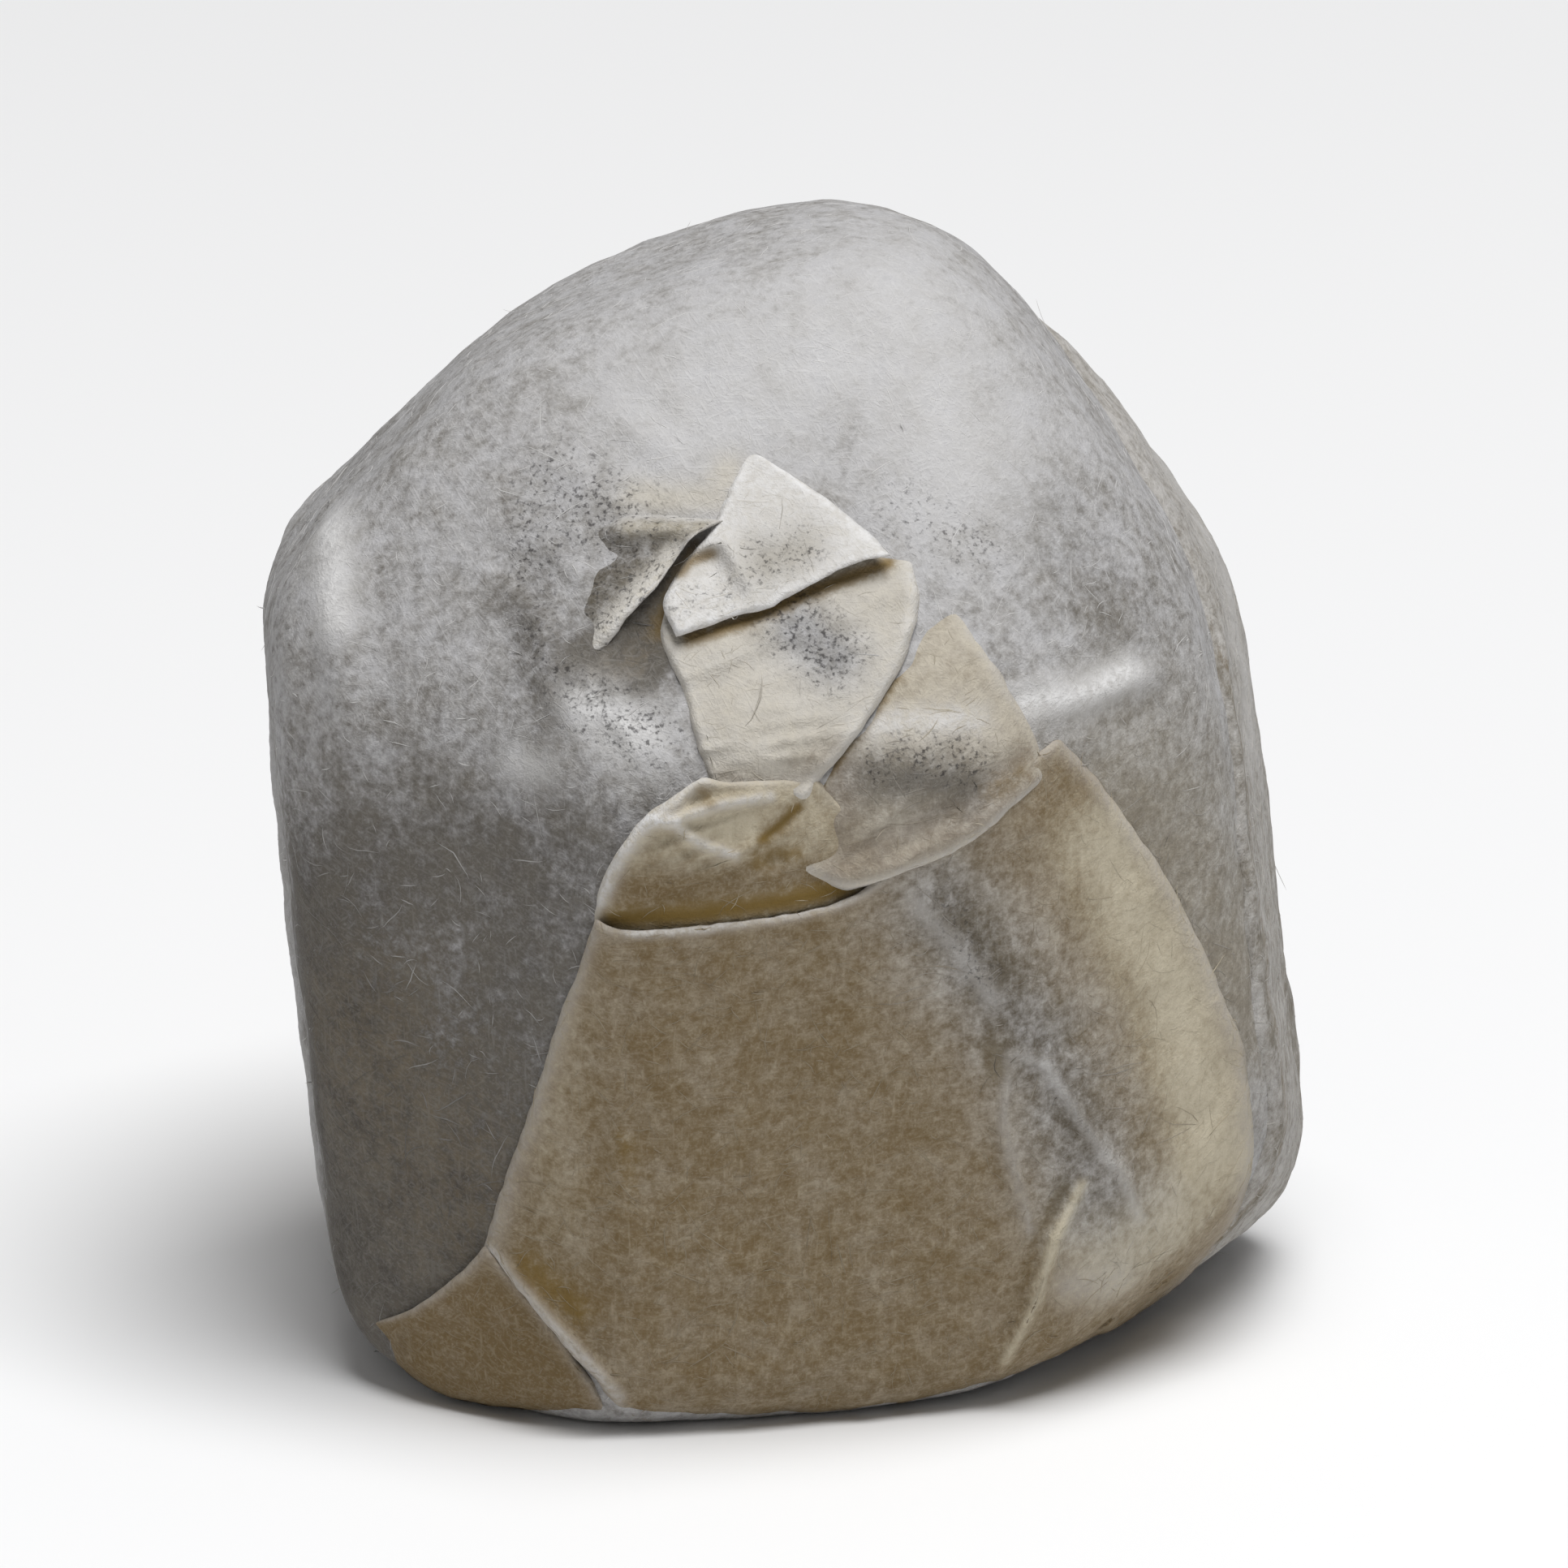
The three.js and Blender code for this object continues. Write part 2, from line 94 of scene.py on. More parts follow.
# The flat facets of the drawn paper: azimuth from the front towards the right and elevation of the
# outward normal in degrees, and distance from the middle.
FACETS = {
    "crown": (181, 88, 17.0),
    "crown_left": (-97, 73, 15.8),
    "crown_right": (74, 59, 16.6),
    "shoulder_left": (-97, 42, 15.4),
    "shoulder_right": (94, 34, 13.7),
    "shoulder_front": (2, 40, 13.8),
    "shoulder_front_left": (-27, 33, 15.1),
    "shoulder_front_right": (44, 32, 14.5),
    "shoulder_back": (180, 40, 14.5),
    "shoulder_back_left": (-135, 42, 14.8),
    "shoulder_back_right": (135, 40, 14.4),
    "side_left": (-88, -6, 14.6),
    "side_right": (87, 7, 13.3),
    "front": (13, -9, 13.3),
    "front_left": (-32, -5, 14.7),
    "front_right": (45, -1, 13.4),
    "back": (180, -6, 13.6),
    "back_left": (-135, -4, 13.8),
    "back_right": (135, 2, 13.8),
    "under_left": (-78, -52, 20.9),
    "under_right": (64, -40, 18.1),
    "foot": (0, -90, MIDDLE[2] + FOOT_PRESS),
}

# The sides that folds are measured from: azimuth and elevation of the eye in degrees. A point on a
# fold is (right, up) in that view, from the middle of the foot.
VIEWS = {"front": (0, 18), "right": (120, 5), "back": (185, 10), "left": (-95, 5)}

# The folded-over layers, as four-sided outlines in a view. level is the height in layers of paper,
# as one number or as those at bottom and top. corners go round from the lower left over the lower
# right. Each side has its points between two corners, left and right upwards, bottom and top to the
# right, and how far it stands off its level, all along or at its start and its end. A point that
# comes twice is sharp.
FLAPS = {}
FLAPS["front_flap"] = {
    "seen": "front", "level": 1,
    "corners": [(-4.2, -3.7), (9.2, -1.9), (7.9, 16.5), (-5.4, 11.3)],
    "left": ([(-6, -1.4), (-6.9, -0.3), (-8.7, 1.8), (-8.7, 1.8), (-7.8, 4.4)], (0, 0.15)),
    "top": ([(-4.6, 10.9), (-2.8, 11), (0.1, 11.4), (2, 12), (3.4, 13.2), (5.6, 14.8)], (0.25, 0.05)),
    "right": ([(13.2, 2.6), (13.4, 6.9), (11.7, 11.2), (9.8, 14.3)], (0.1, 0)),
    "bottom": ([(2.4, -3.7)], MERGED),
}
FLAPS["corner_flap"] = {
    "seen": "front", "level": 1,
    "corners": [(-12.2, -2), (-4.4, -4), (-8.6, 1.9), (-12.9, -0.7)],
    "left": ([], MERGED),
    "top": ([(-11.3, -0.2), (-9.9, 0.6)], (0.1, 0.2)),
    "right": ([(-6.7, -0.3)], 0),
    "bottom": ([(-8.6, -3.6)], MERGED),
}
FLAPS["collar"] = {
    "seen": "front", "level": (0.4, 1.3),
    "corners": [(-5.4, 10.4), (3.4, 11.4), (0.9, 15.4), (-2.3, 15.3)],
    "left": ([(-5.4, 11.8), (-5, 12.9), (-4, 14.2), (-3.2, 14.8)], (0.1, 0.35)),
    "top": ([(-1.6, 15.2)], 0.1),
    "right": ([(2.8, 13.3)], -0.2),
    "bottom": ([(-2.8, 10), (0.9, 10.5)], 0),
}
FLAPS["shoulder"] = {
    "seen": "front", "level": (1.5, 0.6),
    "corners": [(-0.1, 12.9), (7.6, 15.4), (4.8, 20.4), (3.9, 21.2)],
    "left": ([(0.6, 13.5), (0.9, 14.8), (2.4, 18.6)], (-0.3, -0.4)),
    "top": ([(4.3, 20.9)], -0.1),
    "right": ([(7.2, 16.7), (6.2, 18.4)], (-0.2, 0)),
    "bottom": ([(1, 12.45), (1.9, 12.1), (4, 12.8), (5.4, 13.5)], (0, 0.1)),
}
FLAPS["twist"] = {
    "seen": "front", "level": (2, 1.3),
    "corners": [(-2, 14.5), (0.6, 14.6), (3.7, 21.6), (-3.5, 20.4)],
    "left": ([(-2.4, 15.9), (-3, 18), (-3.5, 19.2)], (-0.25, -0.1)),
    "top": ([(-0.7, 21), (1.5, 21.7)], -0.2),
    "right": ([(1.9, 16.3), (3.3, 18.4), (3.9, 20.4)], (-0.1, 0)),
    "bottom": ([(-1.2, 14.7), (-0.4, 14.95)], -0.1),
}
FLAPS["upper_panel"] = {
    "seen": "front", "level": (2.2, 0.6),
    "corners": [(-3.1, 19.4), (3.1, 21.75), (-0.85, 24.75), (-1.15, 24.75)],
    "left": ([(-3.5, 20.3), (-3.1, 21.2), (-2.2, 22.3), (-1.7, 23.4)], (0.1, -0.05)),
    "top": ([], 0),
    "right": ([(2.3, 22.5), (0.7, 23.7)], (0, -0.05)),
    "bottom": ([(-1.5, 19.95), (-0.4, 20.25), (1, 21), (2.2, 21.6)], (0.1, 0.35)),
}
FLAPS["wing"] = {
    "seen": "front", "level": (1.4, 0.3),
    "corners": [(-5.8, 18.4), (-2.9, 22), (-1.7, 22.7), (-6.4, 22.4)],
    "left": ([(-6.9, 20.2)], -0.6),
    "top": ([(-4.2, 22.9)], (-0.1, 0.1)),
    "right": ([(-2.4, 22.4)], 0.2),
    "bottom": ([(-5.2, 19), (-4.4, 20), (-3.5, 21.1)], (0, 0.5)),
}
FLAPS["side_wrap"] = {
    "seen": "right", "level": 1,
    "corners": [(-7.8, -0.6), (1, -1.4), (9.6, 29), (-9.4, 20)],
    "left": ([(-10, 6), (-10.4, 13)], 0),
    "top": ([(-5, 27), (3, 31)], MERGED),
    "right": ([(6.5, 11), (9.2, 20)], (0.1, -0.6)),
    "bottom": ([(-4, -1.4)], MERGED),
}
FLAPS["back_flap"] = {
    "seen": "back", "level": 1,
    "corners": [(-6.7, -2.4), (11, -1), (10.8, 21.5), (8.5, 17.2)],
    "left": ([(2.2, 9)], (0, 0.15)),
    "top": ([(9.6, 19.4)], (0.05, -0.6)),
    "right": ([(13.4, 10), (13.4, 17)], MERGED),
    "bottom": ([(4, -2.6)], MERGED),
}
FLAPS["back_pleat"] = {
    "seen": "back", "level": 2,
    "corners": [(-2.7, -2.5), (10.6, -1.2), (10.7, 16.2), (9.9, 14.9)],
    "left": ([(4.8, 7.8)], (0, 0.1)),
    "top": ([(10.2, 15.6)], -0.2),
    "right": ([(12.4, 9)], -1.1),
    "bottom": ([(4, -2.5)], -1.1),
}
FLAPS["crown_fold"] = {
    "seen": "back", "level": 1,
    "corners": [(-5.2, 21), (0.4, 19.8), (7, 28), (-1, 29.8)],
    "left": ([(-2.8, 26)], (0.05, -0.15)),
    "top": ([(3, 30.2)], -0.35),
    "right": ([(4.8, 23.6)], -0.35),
    "bottom": ([(-2.6, 20.2)], -0.35),
}

# Lines that both raise the paper and change its look.
LEFT_CREASE = [(6.5, 1.8), (2.6, 9), (-3.5, 18), (-6.4, 24)]
LEFT_TUCK = [(-9.8, 21), (-5, 22.6), (-0.6, 21.4)]
BACK_CREASE = [(8.4, 17.8), (6.6, 21.4), (3.4, 24.6)]
PINCH_RIGHT = [(7.5, 7.1), (8.5, 5.5), (9.7, 3.9), (10.3, 2.6)]
PINCH_LEFT = [(7.5, 7.1), (6.5, 7.4), (6.3, 5.3), (7.1, 2.3)]
CORNER_FOLD = [(-8.5, 1.7), (-6.8, -0.3), (-4.7, -2.5)]
COLLAR_FOLD = [(-3.3, 14.1), (-2.6, 14.3), (-1.8, 14.55), (-0.4, 14.8)]

# The creases of each layer by view: a line, its half width and its height, below 0 for a groove.
CREASES = {}
CREASES["skin", "front"] = [
    ([(-13.1, 23.2), (-12.8, 19.8), (-12.5, 15.6)], 0.7, 0.35),
    ([(6.9, 17.5), (8.4, 17.7), (11.2, 18.5)], 0.5, 0.3),
    ([(-8.9, 21.5), (-6.8, 19.6), (-6.6, 17.4)], 0.4, 0.16),
    ([(-7.6, 22.8), (-5.7, 21), (-4.6, 19.2)], 0.35, 0.14),
    ([(-5.8, 17.4), (-4.4, 16.6), (-3.2, 15.6)], 0.4, 0.2),
    ([(-5, 18.8), (-4.2, 19.2), (-3.9, 20)], 0.5, -0.35),
]
CREASES["skin", "left"] = [
    (LEFT_CREASE, 0.6, 0.3),
    (LEFT_TUCK, 0.5, 0.18),
]
CREASES["skin", "back"] = [
    (BACK_CREASE, 0.5, 0.25),
    ([(-4.2, 19.4), (-1.6, 14), (-2.6, 7.6)], 0.5, 0.2),
]
CREASES["front_flap", "front"] = [
    ([(8.6, 3.6), (7.8, 2), (7.2, 0), (6.2, -1.9)], 0.2, 0.5),
    (PINCH_RIGHT, 0.17, 0.2),
    (PINCH_LEFT, 0.17, 0.16),
    (CORNER_FOLD, 0.22, 0.35),
    ([(3.7, 11.8), (4.8, 10.6), (6, 9), (6.1, 7.6)], 0.35, 0.14),
    ([(-5.2, 11), (-5.1, 8.2), (-4.7, 4.1), (-4.2, -0.5)], 0.35, 0.08),
]
CREASES["collar", "front"] = [
    ([(-3.9, 14.1), (-3.1, 14), (-2.5, 13.5), (-1.4, 13.1), (-0.7, 13.5)], 0.22, 0.3),
    (COLLAR_FOLD, 0.2, 0.3),
    ([(-5.1, 12.2), (-4.7, 13.1), (-3.9, 14), (-3.1, 14.6), (-2.4, 15.1)], 0.22, 0.22),
    ([(-2.9, 14.6), (-2.2, 14.9)], 0.22, -0.2),
    ([(-0.7, 13.5), (-0.1, 14), (0.5, 14.6)], 0.2, -0.25),
    ([(-0.7, 13), (0.1, 13.1)], 0.35, -0.25),
]
CREASES["shoulder", "front"] = [
    ([(0.3, 12.8), (1.9, 12.5), (3.3, 12.8), (5.4, 13.9), (7.3, 15.4)], 0.3, 0.18),
    ([(0.6, 13), (0.8, 14.2), (1.2, 15.2)], 0.25, 0.15),
    ([(1.2, 13.3), (2.6, 13.5), (4.2, 14.2)], 0.35, -0.12),
]
CREASES["twist", "front"] = [
    ([(3.6, 21.2), (3.5, 19.6), (2.4, 17.6)], 0.2, 0.1),
    ([(-2, 15.5), (-0.6, 15.3), (1.4, 16.1)], 0.3, -0.1),
]
CREASES["upper_panel", "front"] = [
    ([(-2.6, 22), (-1.7, 22.1), (-1.3, 21.4), (-0.9, 20.6)], 0.25, 0.3),
    ([(-2.9, 21.2), (-2.1, 21.6), (-1.9, 20.9)], 0.35, -0.2),
]
CREASES["wing", "front"] = [
    ([(-5.9, 22.3), (-4.4, 22.5), (-3, 22.5), (-1.6, 22.5)], 0.3, 0.35),
    ([(-5.6, 21.2), (-4.6, 21.7), (-3.6, 21.8)], 0.35, -0.15),
]
CREASES["side_wrap", "right"] = [([(-6, 2), (-1.5, 10), (2, 17)], 0.6, 0.15)]
CREASES["back_flap", "back"] = [([(0.6, 3), (6.4, 9.5), (10.8, 13.5)], 0.5, 0.12)]

# Gathered paper: the layer, the view, a line through the gathers, how far they reach from it, the
# direction that they run in from the right in degrees, the distance between them and their height.
GATHERS = [
    ("twist", "front", [(-2.2, 16), (1.2, 15.8)], 1.8, 8, 0.5, 0.1),
    ("twist", "front", [(-2.6, 18.6), (3, 20.4)], 1.6, 20, 0.8, 0.09),
    ("collar", "front", [(-4.6, 11.8), (-3, 13.6), (0.6, 13.4)], 1.2, 25, 0.55, 0.12),
    ("upper_panel", "front", [(-2.6, 20.6), (1.4, 21.8)], 1.2, 35, 0.7, 0.07),
    ("shoulder", "front", [(2.4, 13.2), (5.4, 15.4)], 1.2, 38, 0.7, 0.08),
    ("wing", "front", [(-5.4, 19.6), (-3.4, 21.9)], 1, 50, 0.6, 0.08),
    ("skin", "front", [(-7.2, 22.8), (-4.6, 24.2)], 1.8, -40, 0.8, 0.1),
    ("skin", "front", [(-6.2, 18.4), (-4.2, 16.4)], 1.6, -55, 0.6, 0.12),
    ("skin", "front", [(5.4, 18.6), (7.4, 16.6)], 1.6, 15, 0.8, 0.1),
    ("skin", "front", [(-3, 25.6), (2.4, 24.4)], 2.2, 80, 1, 0.05),
    ("skin", "back", [(7.2, 17), (9.4, 20.6)], 2.2, 50, 0.7, 0.1),
    ("skin", "back", [(-5.4, 18.4), (-2.2, 20.2)], 1.8, 65, 0.8, 0.1),
    ("skin", "left", [(-4, 23), (3, 23.4)], 2.2, 80, 0.9, 0.07),
    ("side_wrap", "right", [(-6.4, 23), (0.4, 27)], 2.4, 60, 0.9, 0.08),
    ("front_flap", "front", [(7, 6), (8.8, 1.4)], 2, -65, 0.8, 0.08),
    ("front_flap", "front", [(-4.6, -1.6), (4, -2.2)], 1.2, 75, 1.2, 0.06),
]

# What shows on a layer, as amounts from 0 to about 1. cream is doubled paper, tea is dark leaf that
# shows through paper lying tight on it, white is paper that a crease lifts off the tea, deep is the
# warm brown of several layers, fold is painted shade, the yellow brown of light through the paper
# inside a fold or under an edge, and speckle is leaf dust.
KINDS = ("cream", "tea", "white", "deep", "fold", "speckle")
MOST_LOOK = 1.5  # the most that a layer and its marks add up to
BASE_LOOK = {
    "skin": {"cream": 0.05, "tea": 0.37, "white": 0.08, "speckle": 0.15},
    "front_flap": {"cream": 0.97, "tea": 0.3, "deep": 0.86},
    # The corner flap's fold amount is painted shade, and its deep brown is partly doubled paper and partly
    # painted shade.
    "corner_flap": {"cream": 1.0, "deep": 1.05, "fold": 0.12},
    "collar": {"cream": 1.0, "deep": 0.45},
    "shoulder": {"cream": 0.8, "tea": 0.25, "white": 0.1, "deep": 0.4, "speckle": 0.1},
    "twist": {"cream": 0.62, "tea": 0.3, "white": 0.3, "deep": 0.1, "speckle": 0.1},
    "upper_panel": {"cream": 0.4, "tea": 0.1, "white": 0.8, "speckle": 0.15},
    "wing": {"cream": 0.1, "tea": 0.66, "speckle": 0.7},
    "side_wrap": {"cream": 0.25, "tea": 0.38, "deep": 0.2},
    "back_flap": {"cream": 0.95, "tea": 0.2, "deep": 0.55},
    "back_pleat": {"cream": 1.0, "deep": 0.7},
    "crown_fold": {"cream": 0.15, "tea": 0.37, "white": 0.15, "speckle": 0.15},
}

# Where a layer looks different, by view: a line, and the half width and change of each kind there.
MARKS = {}
# Leaf dust and painted shade round the knot, the pale dome, ear and streak, and the dark lower
# sides, the left one partly tea and partly painted shade.
MARKS["skin", "front"] = [
    ([(-6.4, 23.6), (-4.9, 22.7)], {"tea": (1.5, 0.1), "speckle": (1.7, 0.7)}),
    ([(-7.4, 21.6), (-6.9, 18.6)], {"speckle": (1, 0.5)}),
    ([(-7.2, 21.4), (-6.6, 20)], {"tea": (1, 0.15)}),
    ([(-7.6, 20.2), (-6.7, 16.8)], {"tea": (0.8, 0.4)}),
    # Painted shadow under the wing's free edge, and painted shade in the hollow between wing and twist.
    ([(-5.3, 18.5), (-4.3, 18.7), (-3.7, 19.9)], {"fold": (0.6, 0.22), "tea": (0.85, 2)}),
    ([(-3.5, 19.6), (-3.1, 21), (-2.6, 22)], {"fold": (0.35, 0.5), "tea": (0.35, 0.8)}),
    ([(-4.2, 23.4), (-2, 23.4), (-1.6, 24.2)], {"cream": (0.5, 0.5)}),
    ([(-5.5, 17.4), (-4.2, 16.5)], {"white": (0.9, 0.85)}),
    ([(-5.5, 17.4), (-3.8, 16.5)], {"speckle": (1.1, 0.85)}),
    ([(-7.6, 15.8), (-7, 15.6)], {"white": (0.6, 0.5)}),
    ([(3.4, 23), (5.6, 21.8)], {"speckle": (1.2, 0.5)}),
    ([(-3, 25.6), (3, 28.4), (5, 24.5)], {"white": (2.8, 0.4), "tea": (3.2, -0.2)}),
    ([(7.5, 23), (9.5, 20)], {"tea": (1.6, 0.25)}),
    ([(-13.1, 23.2), (-12.8, 19.8)], {"white": (0.6, 0.9)}),
    ([(6.9, 17.5), (8.4, 17.7), (9.8, 18.4)], {"white": (0.5, 1)}),
    ([(-10.5, 20), (-10, 18)], {"tea": (2.2, 0.08)}),
    # The lower left side: tea amounts that are partly painted shade, and painted fold shade.
    ([(-12.6, 12.6), (-7.2, 12.6), (-8.5, 4), (-12, 2), (-12.2, 8)], {"tea": (3.2, 0.56)}),
    ([(-12, 8), (-9, 3)], {"fold": (3.4, 0.25)}),
    ([(-11.6, 6), (-9.6, 2)], {"tea": (2, 0.35)}),
    ([(10, 14.5), (12.5, 9)], {"tea": (2.6, 0.5), "cream": (3, 0.4), "deep": (3, 0.35)}),
]
MARKS["skin", "left"] = [
    (LEFT_CREASE, {"white": (0.5, 0.5)}),
    (LEFT_TUCK, {"white": (0.5, 0.3)}),
    # Darker towards the front edge: tea that is partly painted shade.
    ([(8.4, 12), (8, 2)], {"tea": (2.8, 0.62)}),
    ([(-6.6, 13), (-1.8, 8.6)], {"tea": (2.2, 0.35)}),
    ([(-2, 25), (4, 24)], {"speckle": (1.8, 0.5)}),
]
MARKS["skin", "back"] = [
    (BACK_CREASE, {"white": (0.45, 0.45)}),
    ([(-5.6, 17.4), (-2.4, 13), (-3.4, 6.6)], {"tea": (1.8, 0.4)}),
    ([(-4, 24), (2, 19)], {"speckle": (2, 0.55)}),
    ([(2.4, 14), (6.2, 18.6)], {"white": (1.1, 0.35)}),
]
# The grey strip where it lies tight on the tea, its pinched creases, and the pale right side, with
# painted shade by the low right crease and the corner fold.
MARKS["front_flap", "front"] = [
    ([(4.6, 11.6), (7.4, 7.5), (9, 3.4)], {"tea": (2, 0.42), "cream": (1.9, -0.75), "deep": (2.2, -0.35)}),
    ([(4.6, 12.2), (5.4, 10)], {"speckle": (0.9, 0.55)}),
    ([(5.4, 11.2), (6.2, 9.8)], {"tea": (0.9, 0.2)}),
    ([(5.9, 9.4), (7.2, 5)], {"speckle": (1.3, 0.25)}),
    # The low right crease: a paler ridge, partly doubled paper and partly a painted highlight, and painted
    # shade along its left side.
    ([(8.6, 3.6), (7.8, 2), (7.2, 0), (6.4, -1.5)], {"cream": (0.16, 0.5), "deep": (0.18, -0.6)}),
    ([(8.1, 3.6), (7.3, 2), (6.7, 0.2)], {"tea": (0.2, 0.5)}),
    (PINCH_RIGHT, {"white": (0.16, 0.45)}),
    (PINCH_LEFT, {"white": (0.16, 0.3)}),
    ([(6, 7.5), (6.1, 7)], {"tea": (0.3, 0.8)}),
    ([(3.7, 11.8), (4.8, 10.6), (6, 9)], {"white": (0.3, 0.35)}),
    ([(9.2, 13.4), (11.2, 9.4), (12.6, 4.6)], {"deep": (1.3, -0.75), "cream": (1, 0.6)}),
    ([(9.6, 1.6), (11.4, 2.4)], {"deep": (1.5, -0.55)}),
    ([(8.3, 0.6), (9.6, 0.8)], {"white": (0.6, 0.3)}),
    (CORNER_FOLD, {"white": (0.18, 0.4)}),
    # Painted shade in the hollows by the corner fold.
    ([(-7.4, 1.3), (-6, 0)], {"fold": (0.6, 0.75)}),
    ([(-4.6, 5), (-4.4, 3.6)], {"fold": (0.35, 0.4)}),
    ([(-6.2, 9.4), (-6.6, 5.2), (-6.4, 2.6)], {"deep": (0.9, -0.2)}),
    ([(-4.4, 10.9), (-2.6, 11), (-0.3, 11.4), (1.9, 11.9)], {"white": (0.16, 0.5)}),
]
# Painted shade in the hollow above the front flap and in the slits of the knot, and the pale edges of the
# folds.
MARKS["collar", "front"] = [
    ([(-4.6, 12.1), (-2.6, 12.2), (1.4, 12.6)], {"deep": (0.6, 0.5)}),
    ([(-4.9, 11.3), (-2.6, 11.4), (0, 11.8), (1.8, 12.2)], {"fold": (0.4, 0.95)}),
    ([(-2.4, 15), (-2.1, 14.6)], {"fold": (0.25, 0.55)}),
    ([(-0.6, 13.6), (-0.1, 14), (0.4, 14.5)], {"fold": (0.2, 0.9)}),
    ([(-0.7, 13), (0.3, 13.2)], {"fold": (0.35, 0.6)}),
    ([(-5.3, 11.8), (-4.8, 13), (-3.9, 14.1), (-3.1, 14.7), (-2.4, 15.2)], {"white": (0.28, 0.6)}),
    ([(-3.9, 14.1), (-3.1, 14), (-2.5, 13.5), (-1.4, 13.1)], {"white": (0.16, 0.7)}),
    (COLLAR_FOLD, {"white": (0.16, 0.7)}),
    ([(-2.4, 13.9), (-1.2, 14)], {"deep": (0.5, -0.3)}),
]
# Tea and dust in the middle, a warm lip, and painted shade beside the twist's edge and near the lip's
# right end.
MARKS["shoulder", "front"] = [
    ([(2.6, 15.4), (5, 15.2)], {"tea": (1, 0.9), "cream": (1, -0.6)}),
    ([(2.8, 15.8), (5.2, 15.8)], {"speckle": (0.9, 0.9)}),
    ([(2.6, 16.9), (5.4, 17)], {"white": (0.5, 0.7)}),
    ([(1.4, 13.4), (1.6, 15.4)], {"deep": (0.7, 0.4)}),
    ([(0, 12.9), (0.7, 13.5), (0.9, 14.8)], {"deep": (0.35, 0.4), "white": (0.35, -0.4)}),
    ([(2.4, 13.3), (5.2, 14.5), (6.8, 15.9)], {"deep": (0.4, 0.4)}),
    ([(6, 14.9), (6.9, 15.6)], {"fold": (0.4, 0.4)}),
    ([(1.4, 12.6), (3.3, 12.9), (5.4, 13.9), (7.3, 15.3)], {"deep": (0.35, 0.35)}),
    ([(0.9, 15), (1.9, 16.3), (2.9, 17.6), (3.6, 19)], {"fold": (0.2, 0.6)}),
]
MARKS["twist", "front"] = [
    ([(1.4, 18.8), (0.4, 19.6)], {"tea": (1, 0.36), "cream": (1, -0.7), "speckle": (1.2, 1)}),
    # Painted shade in the slit under the upper panel's edge.
    ([(-2.7, 19.35), (-1.2, 19.8), (0.8, 20.7), (3, 21.5)], {"fold": (0.3, 0.9)}),
    ([(-1.9, 15.2), (-0.2, 15), (1.5, 16.2)], {"deep": (0.5, 0.45), "white": (0.6, -0.2)}),
]
MARKS["upper_panel", "front"] = [
    ([(-0.6, 21.6), (0.4, 21.9)], {"tea": (0.9, 0.7), "white": (0.9, -0.5), "speckle": (0.8, 0.8)}),
    ([(-3, 20.4), (-1.8, 20.6)], {"speckle": (0.6, 0.5)}),
    # Painted shade under the ridge of the wing's fold.
    ([(-3, 21.2), (-2.6, 21.6), (-2.1, 21.75)], {"fold": (0.25, 0.8)}),
]
MARKS["wing", "front"] = [
    ([(-6.2, 20.4), (-4.6, 21.4)], {"tea": (0.7, 0.25)}),
    (
        [(-5.7, 18.8), (-4.5, 20.2), (-3.2, 21.6)],
        {"white": (0.35, 0.6), "cream": (0.35, 0.6), "tea": (0.4, -0.5)},
    ),
    ([(-4.4, 22.5), (-3, 22.5), (-1.6, 22.5)], {"cream": (0.35, 0.4)}),
]
# A shaded left edge, a pale right one, and tea in between.
MARKS["side_wrap", "right"] = [
    ([(2, 0), (6.5, 11), (9.2, 20), (9.6, 29)], {"cream": (0.6, 0.5)}),
    ([(-7.8, 0), (-10, 6), (-10.4, 13), (-9.4, 20)], {"white": (0.4, -0.4), "tea": (0.4, 0.5)}),
    ([(-8.6, 2), (-9.7, 8), (-9.9, 13), (-8.9, 20)], {"fold": (0.18, 0.3)}),
    ([(-4.6, 7), (0.4, 15)], {"tea": (2.2, 0.35)}),
    ([(-6.8, 17), (-2, 23)], {"white": (1.8, 0.4)}),
    ([(-3, 1), (3, 8)], {"deep": (1.6, 0.3)}),
]
# Both take the look of the skin where they run on into it.
MARKS["back_flap", "back"] = [
    ([(4, 14), (9, 20)], {"tea": (3, 0.3)}),
    (
        [(10, -1), (12.4, 10), (12.4, 17), (9.8, 21.5)],
        {"cream": (1.7, -0.9), "deep": (1.7, -0.55), "tea": (1.7, 0.17)},
    ),
]
MARKS["back_pleat", "back"] = [
    ([(10, -1), (12, 9), (10.7, 16.2)], {"cream": (1.4, -0.9), "deep": (1.4, -0.6), "tea": (1.4, 0.37)}),
]

# The parts of the foot that the folded-over corners of the paper leave open, as (right, back).
FOOT_GAPS = [
    [(-8.6, 0.6), (0.9, 1.9), (-7.0, 7.2)],
    [(1.8, 0.8), (8.6, -3.6), (9.4, 4.6)],
]


def direction(azimuth, elevation):
    a, e = math.radians(azimuth), math.radians(elevation)
    return np.array([math.sin(a) * math.cos(e), -math.cos(a) * math.cos(e), math.sin(e)])


def axes(view):
    """The right, up and towards-the-eye directions of a view."""
    azimuth, elevation = VIEWS[view]
    eye = direction(azimuth, elevation)
    right = direction(azimuth + 90, 0)
    return right, np.cross(eye, right), eye


NORMALS = np.array([direction(*facet[:2]) for facet in FACETS.values()])
REACHES = np.array([distance for _, _, distance in FACETS.values()]) + NORMALS @ MIDDLE


def outside(points):
    """How far points lie outside the rounded polyhedron, and how that grows in x, y and z."""
    gaps = points @ NORMALS.T - REACHES
    most = gaps.max(-1)
    shares = np.exp((gaps - most[:, None]) / ROUNDING)
    total = shares.sum(-1)
    return most + ROUNDING * np.log(total), (shares / total[:, None]) @ NORMALS


